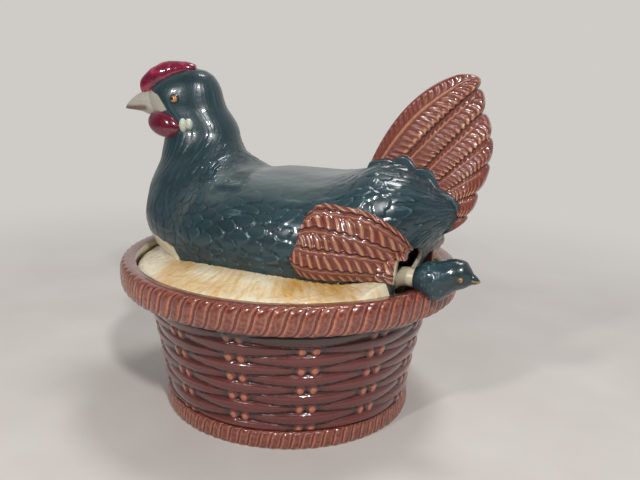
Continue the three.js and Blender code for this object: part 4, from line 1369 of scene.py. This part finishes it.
@dataclass
class Wing:
    """A folded wing of long feathers, each lapping over the one below."""

    hen: Hen
    thickness: float = 6.5
    sunk: float = 4.0
    lap: float = 2.3
    barbs: float = 13.0
    shaft: float = 0.26
    wave: float = 0.04
    slope_step: float = 0.6
    ridge_places: tuple[float, float] = (0.08, 0.21)
    ridge_width: float = 0.045
    ridge_height: float = 0.55
    barb_height: float = 0.6

    def phase(self, u: Array, w: Array, number: Array) -> Array:
        """How many barbs lie before a place: a count along the feather that lags across it.

        Args:
            u: place along the wing from 0 to 1.
            w: place across the feather from 0 to 1.
            number: which feather.

        Returns:
            The count.
        """
        lag = 1.5 * np.clip(w - self.shaft, 0, 1) ** 0.7
        return self.barbs * u - lag + 0.37 * number + 0.3 * ripple(u * 8, number + 0.5, seed=6)

    def lean(self, x: Array, z: Array, y: Array, hooded: bool) -> Array:
        """Unit vectors that stand on the flank, by its slopes along and up, held to a range.

        Args:
            x: length.
            z: height.
            y: the flank's distance there.
            hooded: whether the hood is on this side.

        Returns:
            One vector for each place.
        """
        step = self.slope_step
        along = -(self.hen.flank(x + step, z, hooded) - y) / step
        up = -(self.hen.flank(x, z + step, hooded) - y) / step
        lean = np.stack([np.clip(along, -0.5, 1.2), np.ones_like(y), np.clip(up, -0.5, 1.0)], -1)
        return lean / np.linalg.norm(lean, axis=-1, keepdims=True)

    def sheet(self, side: float, rows: int = 190, columns: int = 170) -> Sheet:
        """The wing as closed sections carried from its front to its tip.

        The outer face rises from the flank towards each feather's wavy lower edge and drops to the
        next feather there. A twin-ridged shaft runs near the upper edge, and barbs slant down from
        it to the waves.

        Args:
            side: -1 for her left side, 1 for her right.
            rows: steps along.
            columns: steps across the outer face.

        Returns:
            A closed sheet.
        """
        lines = np.array(WING_LINES, float)
        feathers = len(lines) - 1
        u = np.linspace(0, 1, rows)[:, None]
        f = np.linspace(0, feathers, columns)[None]
        line = np.round(f)
        inner = np.minimum(f, feathers - f)
        from_end = 1 - np.abs(2 * u - 1)
        wave = self.wave * np.sin(TURN * self.phase(u, 1.0, line - 1))
        wave = wave * (1 - 2 * np.abs(f - line))
        flat = f + wave * soft(inner, 0.2, 1.0) * soft(from_end, 0, 0.2)
        knots = np.linspace(0, 1, lines.shape[1])
        along = [np.stack([eased(u[:, 0], knots, line[:, k]) for line in lines]) for k in (0, 1)]
        low = np.clip(np.floor(flat).astype(int), 0, feathers - 1)
        part = flat - low
        row = np.broadcast_to(np.arange(rows)[:, None], low.shape)
        x, z = (a[low, row] * (1 - part) + a[low + 1, row] * part for a in along)
        number = feather_at(f, feathers)
        w = f - number
        edge = soft(inner, 0, 0.42) * soft(from_end, 0.0, 0.10)
        lap = w ** 1.3 * (1 - soft(w, 0.95, 1.0) * 0.5)
        ridges = sum(np.exp(-((w - r) / self.ridge_width) ** 2) for r in self.ridge_places)
        barb = power(np.sin(TURN * self.phase(u, w, number)), 0.8)
        barb = barb * soft(w, self.shaft, self.shaft + 0.2) * (1 - 0.4 * soft(w, 0.85, 1.0))
        stand = self.thickness * (0.42 + 0.10 * (feathers - number) / feathers)
        stand = stand + self.lap * lap + self.ridge_height * ridges + self.barb_height * barb
        stand = stand * edge - self.sunk * (1 - edge)
        hooded = side < 0
        y = self.hen.flank(x, z, hooded)
        lean = self.lean(x, z, y, hooded)
        base = np.stack([x, y, z], -1)
        back = (base - lean * (self.sunk + 1))[:, ::-6]
        points = np.concatenate([base + lean * stand[..., None], back], 1)
        points[..., 1] *= side
        # Painted shadow: the next feather darkens just below each lapping edge, and so does the
        # edge's own drop.
        lap_shadow = soft(0.13 - w, 0, 0.10) * (number > 0) + 0.5 * soft(w, 0.93, 1.0)
        relief = 0.5 + 0.12 * lap + 0.3 * ridges + 0.34 * barb - 0.7 * lap_shadow
        flow = np.stack(np.broadcast_arrays(u * 3, f * 2.2, 0), -1)
        pad = np.zeros((rows, back.shape[1]))
        values = {
            "relief": np.concatenate([np.clip(relief, 0, 1), pad], 1),
            "tone": np.concatenate([scatter(number + 0 * u, seed=5), pad], 1),
            "collar": np.full(points.shape[:2], OFF),
            "flow": np.concatenate([flow, np.zeros((*pad.shape, 3))], 1),
        }
        return Sheet(points, values, capped=True)

    def build(self) -> None:
        """Makes both wings; the left one is notched for the ladle."""
        material = RUSSET.material()
        hen = self.hen
        left = mesh_object("left_wing_feathers", [self.sheet(-1.0)], material)
        shape(left, "DIFFERENCE", hen.notch(), hen.under(), hen.past_hood())
        settle(left, Body.LID, "russet_glaze", "wing_left")
        right = mesh_object("right_wing_feathers", [self.sheet(1.0)], material)
        shape(right, "DIFFERENCE", hen.under())
        settle(right, Body.LID, "russet_glaze", "wing_right")


# Lines between the tail's feathers: root, bend and end, each by length and height
TAIL_LINES = (
    ((70, 212), (92, 273), (136, 288)),
    ((84, 202), (116, 246), (151.3, 278)),
    ((98, 192), (126, 230), (156.3, 260.4)),
    ((108, 186), (136, 216), (163.3, 243)),
    ((114, 184), (141, 205), (163.6, 223.3)),
    ((116, 182), (140, 193), (156.8, 200.3)),
    ((116, 178), (136, 181), (150.5, 182)),
    ((112, 166), (126, 164), (134, 165.5)),
)
# How far each feather's rounded tip runs past the ends of its lines
TAIL_TIPS = (8.5, 5.0, 4.5, 4.6, 5.5, 4.2, 6.0)
# Thickness of the last rows of the fan, from full to none
TAIL_ENDS = (0.94, 0.84, 0.7, 0.5, 0.28, 0.0)
# Edge of the body's last feathers on the tail: angles in degrees and distances about its middle
COLLAR_MIDDLE = (100.0, 178.0)
COLLAR_EDGE = ((-30, -14, -1, 9, 22, 40, 63, 80, 96, 120),
               (36, 38.6, 42.4, 46.3, 44.3, 41, 41, 43, 45, 46))


@dataclass
class Tail:
    """The upright fan of overlapping tail feathers."""

    root_half: float = 9.4
    edge_half: float = 3.6
    barbs: float = 20.0
    wave: float = 0.045
    shaft: float = 0.27
    first_shaft: float = 0.42
    lap: float = 2.7
    rib: float = 0.6
    rib_width: float = 0.045
    barb: float = 0.36
    collar_relief: float = 3.2

    def phase(self, rho: Array, away: Array, number: Array) -> Array:
        """How many barbs lie before a place: a count along the feather that lags off its shaft.

        Args:
            rho: place along the feather from 0 to 1.
            away: distance from the shaft in feather widths.
            number: which feather.

        Returns:
            The count.
        """
        waver = 0.3 * ripple(rho * 8, number + 0.3, seed=8)
        return self.barbs * rho - 3.2 * away ** 0.8 + 0.3 * number + waver

    def collar(self, x: Array, z: Array) -> Array:
        """Distance inside the scalloped edge of the body's last feathers.

        The edge is a distance from a middle point read by angle, with round scallops on it.

        Args:
            x: length.
            z: height.

        Returns:
            Millimetres, above zero on the collar.
        """
        side, up = x - COLLAR_MIDDLE[0], z - COLLAR_MIDDLE[1]
        angle = np.degrees(np.arctan2(up, side))
        reach = eased(np.clip(angle, COLLAR_EDGE[0][0], COLLAR_EDGE[0][-1]), *COLLAR_EDGE)
        waver = 0.9 * ripple(angle / 25, angle * 0, seed=9)
        scallop = np.abs(np.sin(np.radians(angle) * 5 + waver))
        return reach - 1.4 + 4.6 * scallop - np.hypot(side, up)

    def face(self, f: Array, rho: Array) -> tuple[Array, ...]:
        """Places, relief and tint on the fan's face.

        A line between feathers is the quadratic curve through its root, bend and end. Lines in
        between blend the nearest two, and each feather's rounded tip runs on past its end.

        Args:
            f: place across the fan in feathers.
            rho: place along a feather from 0 to 1.

        Returns:
            Length, height, relief in millimetres and tint from 0 to 1.
        """
        lines = np.array(TAIL_LINES, float)
        count = len(lines) - 1
        number = feather_at(f, count)
        w = f - number
        line = np.round(f)
        inner = np.minimum(f, count - f)
        wave = self.wave * np.sin(TURN * self.phase(rho, 1 - self.shaft, line - 1))
        wave = wave * (1 - 2 * np.abs(f - line)) * soft(inner, 0.1, 0.9)
        g = f + wave * soft(rho, 0.25, 0.5) * soft(1 - rho, 0.02, 0.14)
        low = np.clip(np.floor(g).astype(int), 0, count - 1)
        part = (g - low)[..., None]
        root, bend, end = (lines[low, k] * (1 - part) + lines[low + 1, k] * part
                           for k in range(3))
        t = rho[..., None]
        place = (1 - t) ** 2 * root + 2 * t * (1 - t) * bend + t ** 2 * end
        ahead = end - bend
        ahead /= np.linalg.norm(ahead, axis=-1, keepdims=True)
        bulge = np.array(TAIL_TIPS)[number.astype(int)]
        bulge = bulge * (1 - np.abs(2 * w - 1) ** 2.4) ** 0.7 * soft(rho, 0.55, 1.0)
        place = place + ahead * bulge[..., None]
        lap = w ** 1.4 * soft(rho, 0.05, 0.45) * (1 - 0.4 * soft(w, 0.95, 1.0))
        away = np.abs(w - np.where(number == 0, self.first_shaft, self.shaft))
        rib = np.exp(-(away / self.rib_width) ** 2) * soft(-rho, -0.98, -0.8)
        barb = power(np.sin(TURN * self.phase(rho, away, number)), 0.9) * soft(away, 0.04, 0.2)
        barb = barb * (0.55 + 0.45 * soft(w, 0.5, 0.95))
        # Painted shadow: each feather darkens just below the lapping edge of the one above.
        lap_shadow = soft(0.10 - w, 0, 0.08) * (number > 0)
        bare = 1 - soft(self.collar(place[..., 0], place[..., 1]), -0.5, 1.0)
        relief = self.lap * lap + self.rib * rib + self.barb * barb
        relief = bare * relief + (1 - bare) * self.collar_relief
        tint = 0.5 + 0.08 * lap + 0.42 * rib + 0.3 * barb
        tint = tint + 0.3 * soft(w, 0.86, 0.93) - 0.6 * lap_shadow
        # Painted shadow: the lapping edge darkens where it drops to the next feather.
        tint = tint - 0.5 * soft(w, 0.96, 1.0) * (number < count - 1)
        return place[..., 0], place[..., 1], relief, bare * tint + (1 - bare) * 0.5

    def sheet(self, rows: int = 200, columns: int = 240) -> Sheet:
        """The fan as closed sections carried from root to tips, its two faces mirrored.

        Args:
            rows: steps along the feathers.
            columns: steps across one face.

        Returns:
            A closed sheet, which ends on one line so that no edge is shared by three faces.
        """
        rho = np.concatenate([np.linspace(0.0, 1, rows), [1.0, 1.0]])[:, None]
        count = len(TAIL_LINES) - 1
        f, rho = np.broadcast_arrays(np.linspace(0, count, columns)[None], rho)
        x, z, relief, tint = self.face(f, rho)
        half = self.root_half + (self.edge_half - self.root_half) * np.minimum(1, rho * 1.05)
        rim = np.minimum(f, count - f) / 0.12
        pinch = np.sqrt(np.clip(1 - (1 - np.clip(rim, 0, 1)) ** 2, 0.0, 1))
        ends = np.ones((len(rho), 1))
        ends[-len(TAIL_ENDS):, 0] = TAIL_ENDS
        stand = (half + relief) * (0.12 + 0.88 * pinch) * ends
        points = np.concatenate([np.stack([x, -stand, z], -1),
                                 np.stack([x, stand, z], -1)[:, ::-1]], 1)
        both = {"relief": np.clip(tint, 0, 1), "collar": self.collar(x, z),
                "flow": np.stack([rho * 3, f * 2.4, 0 * f], -1),
                "tone": scatter(feather_at(f, count), seed=3)}
        values = {k: np.concatenate([v, v[:, ::-1]], 1) for k, v in both.items()}
        closed = Sheet(points, values, capped=True).settled()
        return Sheet(closed.points[:-1], {k: v[:-1] for k, v in closed.values.items()})

    def build(self) -> None:
        """Makes the fan."""
        fan = mesh_object("tail_feathers", [self.sheet()], RUSSET.material())
        settle(fan, Body.LID, "russet_glaze", "tail_fan")


QUARTERS = (0, 0.25, 0.5, 0.75, 1)
# The beak by the share of its length: height of its upper and lower line, and half-width
BEAK_TOP = ((0, 0.2, 0.45, 0.68, 0.87, 0.96, 1), (263.5, 264, 262.5, 258.9, 254.0, 250.6, 247.8))
BEAK_LOW = ((0, 0.3, 0.5, 0.75, 0.93, 1), (240.5, 242.5, 244.8, 245.9, 246.5, 246.9))
BEAK_WIDE = ((0, 0.3, 0.6, 0.85, 1), (12.5, 10.0, 6.2, 3.0, 0.9))
# The earlobe's folds: distance ahead, height, half-length and half-height
LOBE_FOLDS = ((7.6, 236.0, 3.7, 6.4), (2.2, 237.2, 3.4, 5.2))


@dataclass
class Face:
    """Comb, beak, wattles, eyes and earlobes, in the head's own frame."""

    hen: Hen
    eye_radius: float = 4.6
    lobe_half: float = 4.2
    comb_start: float = 2.5
    comb_length: float = 49.5
    beak_start: float = 36.0
    beak_length: float = 30.5
    mouth_height: float = 248.0
    pupil: float = 0.945

    def tube(self, path: tuple[Array, Array], up: Array, wide: Array,
             columns: int, lean: float = 0.0) -> Sheet:
        """An oval carried along a path in the head's own upright plane.

        Args:
            path: distance ahead and height of each row.
            up: half-height of the oval at each row.
            wide: half-width of the oval at each row.
            columns: steps round.
            lean: how far the oval leans ahead with its height.

        Returns:
            A closed sheet.
        """
        angle = ring(columns)
        rise = up[:, None] * np.sin(angle)
        points = self.hen.at_head(path[0][:, None] + lean * rise, wide[:, None] * np.cos(angle),
                                  path[1][:, None] + rise)
        return Sheet(points, plain(points, 0.35 + 0.35 * np.sin(angle)), capped=True)

    def ball(self, place: Triple, axes: tuple[Triple, ...], rows: int, columns: int) -> Sheet:
        """An ellipsoid in the head's frame.

        Args:
            place: its middle by distance ahead, to her left and height.
            axes: its half-axes in the same frame.
            rows: steps from pole to pole.
            columns: steps round.

        Returns:
            A closed sheet with the unit sphere's points as its flow.
        """
        origin = self.hen.at_head(0.0, 0.0, 0.0)
        axes = np.stack([self.hen.at_head(*axis) - origin for axis in axes])
        return globe(self.hen.at_head(*place), axes, rows, columns)

    def comb(self) -> Sheet:
        """The fat knobbly comb that leans over the beak.

        Ovals grow by a table times a power of a sine, and noise lifts their knobs.

        Returns:
            A closed sheet.
        """
        t = np.linspace(0, 1, 90)
        height = eased(t, QUARTERS, (284.4, 282.6, 279.0, 273.0, 266.5))
        bulge = np.sin(math.pi * (0.02 + 0.96 * t)) ** 0.34
        half = bulge * eased(t, QUARTERS, (6.6, 7.8, 9.9, 11.8, 12.4))
        path = (self.comb_start + t * self.comb_length, height)
        sheet = self.tube(path, half, 8.8 * bulge, 64, 0.12)
        x, y, z = np.moveaxis(sheet.points / 5.0, -1, 0)
        knobs = ripple(x, y, z, seed=2) + 0.5 * ripple(2 * x, 2 * y, 2 * z, seed=3)
        lift = 0.35 * knobs * bulge[:, None]
        sheet.points = sheet.points + outward(sheet.points) * lift[..., None]
        sheet.values["relief"] = np.clip(0.5 + 0.5 * knobs, 0, 1)
        return sheet

    def beak(self) -> Sheet:
        """The hooked beak, with a groove along its mouth.

        Ovals lie between an upper and a lower line, and a bell curve of the height about the
        mouth draws their sides in.

        Returns:
            A closed sheet.
        """
        t = np.linspace(0, 1, 70)
        top, low, wide = (eased(t, *table) for table in (BEAK_TOP, BEAK_LOW, BEAK_WIDE))
        path = (self.beak_start + t * self.beak_length, (top + low) / 2)
        sheet = self.tube(path, (top - low) / 2, wide, 56)
        mouth = self.mouth_height + 1.2 * (1 - t) - 0.8 * t
        gap = (sheet.points[..., 2] - mouth[:, None]) / 1.1
        dent = np.exp(-gap ** 2) * soft(t, 0.25, 0.4)[:, None]
        side = sheet.points - sheet.points.mean(1, keepdims=True)
        side[..., 2] = 0
        sheet.points = sheet.points - side * (0.16 * dent)[..., None]
        shade = np.exp(-(gap / 2.6) ** 2) * soft(t, 0.15, 0.4)[:, None]
        sheet.values["mouth"] = shade * 1.5 - 0.75
        sheet.values["relief"] = 0.75 - 0.6 * dent
        return sheet

    def wattle(self, side: float) -> Sheet:
        """One wattle: a fat oval cushion hanging below the beak.

        Ovals stand across a curved path, and their size is the root of a sine.

        Args:
            side: 1 for her left side, -1 for her right.

        Returns:
            A closed sheet.
        """
        t = np.linspace(0, 1, 60)
        ahead = eased(t, QUARTERS, (40.5, 34.0, 26.5, 19.0, 11.5))
        height = eased(t, QUARTERS, (242.0, 238.5, 235.8, 233.8, 232.5))
        left = side * eased(t, QUARTERS, (13.0, 17.5, 20.5, 22.5, 23.5))
        fat = (10.2 * np.sin(math.pi * (0.04 + 0.92 * t)) ** 0.5)[:, None]
        slope = np.stack([np.gradient(ahead), np.gradient(height)], 1)
        slope /= np.linalg.norm(slope, axis=1, keepdims=True)
        angle = ring(44)
        across = fat * np.sin(angle)
        points = self.hen.at_head(ahead[:, None] - slope[:, 1:] * across,
                                  left[:, None] + 6.2 * side * (fat / 10.4) * np.cos(angle),
                                  height[:, None] + slope[:, :1] * across)
        return Sheet(points, plain(points, 0.5 - 0.25 * np.cos(angle)), capped=True)

    def eye(self, side: float) -> Sheet:
        """One round eye, its pupil set a little forward.

        The pupil is where a point of the sphere lies near enough to the way it looks.

        Args:
            side: 1 for her left side, -1 for her right.

        Returns:
            A closed sheet.
        """
        r = self.eye_radius
        sheet = self.ball((15.8, side * 20.4, 258.3), ((r, 0, 0), (0, r * side, 0), (0, 0, r)),
                          40, 56)
        unit = sheet.values["flow"]
        look = np.array([0.42, 0.9, 0.05])
        look = look / np.linalg.norm(look)
        out = np.abs(unit[..., 1])
        sheet.values.update(pupil=((unit * look).sum(-1) - self.pupil) * 4, ring=0.80 - out,
                            relief=0.2 + 0.5 * out)
        return sheet

    def lobes(self, side: float) -> list[Sheet]:
        """Two small folds of one earlobe.

        Each is an ellipsoid that leans a little ahead.

        Args:
            side: 1 for her left side, -1 for her right.

        Returns:
            Two closed sheets.
        """
        sheets = []
        for ahead, height, long, tall in LOBE_FOLDS:
            axes = ((long, 0, 0), (0, self.lobe_half * side, 0), (0.6, 0, tall))
            sheet = self.ball((ahead, side * 24.6, height), axes, 26, 34)
            sheet.values["relief"] = 0.5 + 0.4 * sheet.values["flow"][..., 2]
            sheets.append(sheet)
        return sheets

    def build(self) -> None:
        """Makes every small piece of the head."""
        crimson, beak, eye, lobe = (g.material() for g in (CRIMSON, BEAK, EYE, LOBE))
        settle(mesh_object("rose_comb", [self.comb()], crimson), Body.LID, "crimson_glaze", "comb")
        settle(mesh_object("hooked_beak", [self.beak()], beak), Body.LID, "beak_glaze", "beak")
        for side, word in ((1.0, "left"), (-1.0, "right")):
            for kind, sheets, finish, slot in (
                    ("wattle", [self.wattle(side)], crimson, "crimson_glaze"),
                    ("eye", [self.eye(side)], eye, "eye_glaze"),
                    ("earlobe", self.lobes(side), lobe, "lobe_glaze")):
                piece = mesh_object(f"{word}_{kind}", sheets, finish)
                settle(piece, Body.LID, slot, f"{kind}_{word}")


# The ladle

# The stem's path from the cup over the rim, as the four points of a cubic, by length and height
STEM_PATH = ((50.5, 30.7), (75, 85), (95, 137.9), (121, 137.9))
# The chick's head: share of its length, rise of its middle, half-height and half-width as shares
CHICK_STATIONS = np.array([
    (0.0, 0.0, 0.60, 0.80), (0.18, 0.05, 0.86, 0.95), (0.34, 0.01, 1.0, 1.0),
    (0.46, 0.07, 1.0, 1.0), (0.62, 0.33, 0.92, 0.98), (0.74, 0.48, 0.79, 0.92),
    (0.86, 0.53, 0.68, 0.76), (0.93, 0.48, 0.5, 0.56), (1.0, 0.40, 0.28, 0.32),
])


@dataclass
class Ladle:
    """The ladle: cup, stem and chick's head."""

    y: float = -38.0
    stem_radius: float = 7.6
    stem_height: float = 137.9
    cup_x: float = 16.0
    cup_radius: float = 36.0
    cup_depth: float = 30.0
    cup_wall: float = 4.0
    cup_flat: float = 12.0
    cup_bottom: float = 8.3
    neck_x: float = 126.0
    bill_x: float = 169.0
    half_height: float = 15.0
    half_width: float = 11.5
    feather_columns: int = 14
    bead_radius: float = 1.9
    bill_length: float = 6.1

    def ovals(self, x: Array, centre: Array, tall: Array, wide: Array, columns: int) -> Array:
        """Upright ovals along the ladle's own plane.

        Args:
            x: length of each oval.
            centre: height of its middle.
            tall: its half-height.
            wide: its half-width.
            columns: steps round.

        Returns:
            Points by oval and step.
        """
        angle = ring(columns)
        y = self.y + wide[:, None] * np.cos(angle)
        z = centre[:, None] + tall[:, None] * np.sin(angle)
        return np.stack(np.broadcast_arrays(x[:, None], y, z), -1)

    def cup(self) -> Sheet:
        """The open cup as a thick turned shell with a rounded lip.

        Its faces run by the sine and cosine of a quarter turn from a flat bottom to the lip.

        Returns:
            A closed sheet.
        """
        def shell(inset: float) -> Array:
            """One face of the shell, from its axis to just below its lip.

            Args:
                inset: how far the face lies inside the outer one.

            Returns:
                Points by radius and height.
            """
            turn = np.linspace(0, math.pi / 2, 14)
            out = self.cup_flat + (self.cup_radius - inset - self.cup_flat) * np.sin(turn)
            up = self.cup_bottom + inset + (self.cup_depth - inset) * (1 - np.cos(turn))
            up[-1] -= 1.2
            return np.stack([out, up], 1)

        outer, inner = shell(0.0), shell(self.cup_wall)
        top = self.cup_bottom + self.cup_depth - 0.1
        lip = [(self.cup_radius - 1.1, top), (self.cup_radius - self.cup_wall + 1.1, top)]
        profile = [[(0, self.cup_bottom)], outer, lip, inner[::-1], [(0, inner[0, 1])]]
        return lathe(np.concatenate(profile), 96, (self.cup_x, self.y))

    def stem(self) -> Sheet:
        """The round stem carried along its path from the cup over the rim.

        Circles stand across a cubic curve and a short level end.

        Returns:
            A closed sheet.
        """
        t = np.linspace(0, 1, 70)[:, None]
        low, rise, bend, flat = np.array(STEM_PATH)
        path = (1 - t) ** 3 * low + 3 * (1 - t) ** 2 * t * rise
        path = path + 3 * (1 - t) * t ** 2 * bend + t ** 3 * flat
        ends = [(self.neck_x + reach, self.stem_height) for reach in (-1, 1.5)]
        path = np.concatenate([path, ends])
        slope = np.gradient(path, axis=0)
        slope /= np.linalg.norm(slope, axis=1, keepdims=True)
        angle = ring(40)
        rise = self.stem_radius * np.sin(angle)
        points = [path[:, :1] - slope[:, 1:] * rise, self.y + self.stem_radius * np.cos(angle),
                  path[:, 1:] + slope[:, :1] * rise]
        return Sheet(np.stack(np.broadcast_arrays(*points), -1), capped=True)

    def head(self) -> Sheet:
        """The chick's head: ovals from its neck to its beak, with small feathers.

        Their middles and sizes are read from a table by the share of the length. The feathers
        fade at both ends.

        Returns:
            A closed sheet with the values of the teal glaze.
        """
        t = np.linspace(0, 1, 110)
        rise, tall, wide = (eased(t, CHICK_STATIONS[:, 0], CHICK_STATIONS[:, k])
                            for k in (1, 2, 3))
        x = self.neck_x + 0.3 + t * (self.bill_x - self.neck_x)
        points = self.ovals(x, self.stem_height + self.half_height * rise,
                            self.half_height * tall, self.half_width * wide, 80)
        grid = points.shape[:2]
        angle, t = ring(80), t[:, None]
        along = 60 - t * 8 + 0.3 * ripple(t * 5, np.cos(angle), np.sin(angle), seed=3)
        across = np.broadcast_to(angle / TURN * self.feather_columns, grid)
        feather, tone, _ = shingles(along, across, self.feather_columns, seed=4)
        fade = soft(t, 0.0, 0.12) * soft(-t, -0.78, -0.5)
        points = points + outward(points) * (0.75 * fade * (feather - 0.4))[..., None]
        flow = [t * 3, np.cos(angle) * 1.5, np.sin(angle) * 1.5]
        away = {key: np.full(grid, OFF) for key in ("belly", "face", "grey")}
        return Sheet(points, plain(points, 0.25 + 0.55 * feather * fade, tone=tone,
                                   flow=np.stack(np.broadcast_arrays(*flow), -1), **away),
                     capped=True)

    def bill(self) -> Sheet:
        """The chick's small beak, tan along its mouth.

        Its ovals shrink by a power of the way to the tip.

        Returns:
            A closed sheet.
        """
        t = np.linspace(0, 1, 24)
        centre = self.stem_height + self.half_height * (0.40 - 0.10 * t)
        points = self.ovals(self.bill_x - 0.2 + t * self.bill_length, centre,
                            4.3 * (1 - 0.86 * t ** 1.6), 3.7 * (1 - 0.9 * t ** 1.6), 32)
        off = np.abs(points[..., 2] - centre[:, None] + 0.6)
        mouth = 0.4 - off / 1.6 + 0.5 * soft(t, 0.6, 0.95)[:, None]
        return Sheet(points, plain(points, 0.4, mouth=mouth), capped=True)

    def eye(self, side: float) -> Sheet:
        """One of the chick's eyes.

        Args:
            side: -1 for its left side, 1 for its right.

        Returns:
            A closed sheet.
        """
        centre = np.array([self.neck_x + 0.84 * (self.bill_x - self.neck_x),
                           self.y + side * self.half_width * 0.74,
                           self.stem_height + self.half_height * 0.42])
        sheet = globe(centre, np.eye(3) * self.bead_radius, 16, 24)
        out = sheet.values["flow"][..., 1] * side
        sheet.values.update(pupil=(out - 0.9) * 4, ring=np.full(out.shape, OFF))
        return sheet

    def build(self) -> None:
        """Makes the ladle's pieces."""
        cream, teal, gold, bill = (g.material() for g in (CREAM, TEAL, EYE, BILL))
        for name, sheet, finish, slot, node in (
                ("ladle_cup", self.cup(), cream, "cream_glaze", "ladle_bowl"),
                ("ladle_stem", self.stem(), cream, "cream_glaze", "ladle_handle"),
                ("chick_feathers", self.head(), teal, "teal_glaze", "chick_head"),
                ("chick_bill", self.bill(), bill, "lobe_glaze", "chick_beak"),
                ("chick_left_bead", self.eye(-1.0), gold, "lobe_glaze", "chick_eye_left"),
                ("chick_right_bead", self.eye(1.0), gold, "lobe_glaze", "chick_eye_right")):
            settle(mesh_object(name, [sheet], finish), Body.LADLE, slot, node)


# The room

# Lamps: name, place in metres, size in metres, watts and colour
LAMPS = (
    ("key", (0.82, -1.0, 1.15), 0.14, 14.5, (1, 1, 1)),
    ("fill", (-0.25, -1.4, 0.9), 0.12, 8.0, (1, 0.98, 0.96)),
    ("top", (0.2, 0.3, 1.6), 0.4, 7.0, (1, 1, 1)),
)


@dataclass
class Room:
    """Floor, lights, sky and camera."""

    eye: Triple = (286.1, -554.8, 301.2)
    heading: float = 25.0
    pitch: float = 14.26
    roll: float = 1.87
    focal_pixels: float = 740.0
    image_width: float = 640.0
    sensor: float = 36.0
    floor_half: float = 6.0
    aim_height: float = 0.13

    def camera(self) -> None:
        """Places the camera of the photograph: heading about Z, pitched down, rolled."""
        turn, dip, roll = (math.radians(a) for a in (self.heading, self.pitch, self.roll))
        right = Vector((math.cos(turn), math.sin(turn), 0))
        level = math.cos(dip)
        ahead = Vector((-math.sin(turn) * level, math.cos(turn) * level, -math.sin(dip)))
        up = right.cross(ahead)
        rolled_right = right * math.cos(roll) + up * math.sin(roll)
        rolled_up = up * math.cos(roll) - right * math.sin(roll)
        data = bpy.data.cameras.new("photo_camera")
        data.sensor_width = self.sensor
        data.lens = self.sensor * self.focal_pixels / self.image_width
        data.clip_end = 20
        camera = bpy.data.objects.new("photo_camera", data)
        axes = Matrix((rolled_right, rolled_up, -ahead)).transposed()
        camera.matrix_world = Matrix.Translation(Vector(self.eye) * MM) @ axes.to_4x4()
        bpy.context.scene.collection.objects.link(camera)
        bpy.context.scene.camera = camera

    def floor(self) -> None:
        """A plain pale floor that turns into the backdrop's own colour with distance."""
        material = bpy.data.materials.new("pale_floor")
        made = Nodes(material)
        place = made.add("TexCoord").outputs["Object"]
        tone = made.ramp(made.noise(place, 9.0, 4.0), [(0.3, "c9c3be"), (0.7, "d2cdc8")])
        shader = made.add("BsdfPrincipled", {"Base Color": tone, "Roughness": 0.85})
        away = made.add("VectorMath", {0: place}, operation="LENGTH").outputs["Value"]
        far = made.span(away, 0.22, 0.95, "SMOOTHSTEP")
        seen = made.math("MULTIPLY", far, made.add("LightPath").outputs["Is Camera Ray"])
        glow = made.add("Emission", {"Color": paint(BACKDROP)})
        mix = made.add("MixShader", {0: seen, 1: shader.outputs[0], 2: glow.outputs[0]})
        made.add("OutputMaterial", {"Surface": mix.outputs[0]})
        mesh = bpy.data.meshes.new("floor")
        size = self.floor_half
        corners = [(-size, -size, 0), (size, -size, 0), (size, size, 0), (-size, size, 0)]
        mesh.from_pydata(corners, [], [(0, 1, 2, 3)])
        mesh.materials.append(material)
        floor = bpy.data.objects.new("floor", mesh)
        bpy.context.scene.collection.objects.link(floor)

    def lamp(self, name: str, place: Triple, size: float, watts: float, colour: Colour) -> None:
        """An area lamp that looks at the middle of the object.

        Args:
            name: the lamp's name.
            place: where it stands, in metres.
            size: its width in metres.
            watts: its power.
            colour: its light.
        """
        data = bpy.data.lights.new(name, "AREA")
        data.shape, data.size, data.energy, data.color = "DISK", size, watts, colour
        lamp = bpy.data.objects.new(name, data)
        turn = (Vector((0, 0, self.aim_height)) - Vector(place)).to_track_quat("-Z", "Y")
        lamp.matrix_world = Matrix.Translation(place) @ turn.to_matrix().to_4x4()
        bpy.context.scene.collection.objects.link(lamp)

    def sky(self) -> None:
        """A soft world, brighter behind the object, shown to the camera as the plain backdrop."""
        world = bpy.data.worlds.new("soft_room")
        bpy.context.scene.world = world
        made = Nodes(world)
        rays = made.add("LightPath").outputs["Is Camera Ray"]
        parts = made.add("SeparateXYZ", {0: made.add("TexCoord").outputs["Generated"]})
        level = made.add("MapRange", {"Value": parts.outputs[1], "From Min": -0.6,
                                      "From Max": 0.8, "To Min": 0.10, "To Max": 0.55})
        glow = made.add("Background", {0: (1.0, 0.985, 0.97), 1: level.outputs[0]})
        shown = made.add("Background", {0: paint(BACKDROP)})
        mix = made.add("MixShader", {0: rays, 1: glow.outputs[0], 2: shown.outputs[0]})
        made.add("OutputWorld", {0: mix.outputs[0]})

    def build(self) -> None:
        """Makes the camera, floor, lamps and world."""
        self.camera()
        self.floor()
        for lamp in LAMPS:
            self.lamp(*lamp)
        self.sky()
        bpy.context.scene.view_settings.view_transform = "Standard"


def main() -> None:
    """Builds the room, the basket, the hen on her nest and the ladle."""
    logging.basicConfig(level=logging.INFO, format="%(name)s %(message)s")
    Room().build()
    Basket().build()
    nest = Nest()
    nest.build()
    Hen(nest).build()
    Ladle().build()


if __name__ == "__main__":
    main()
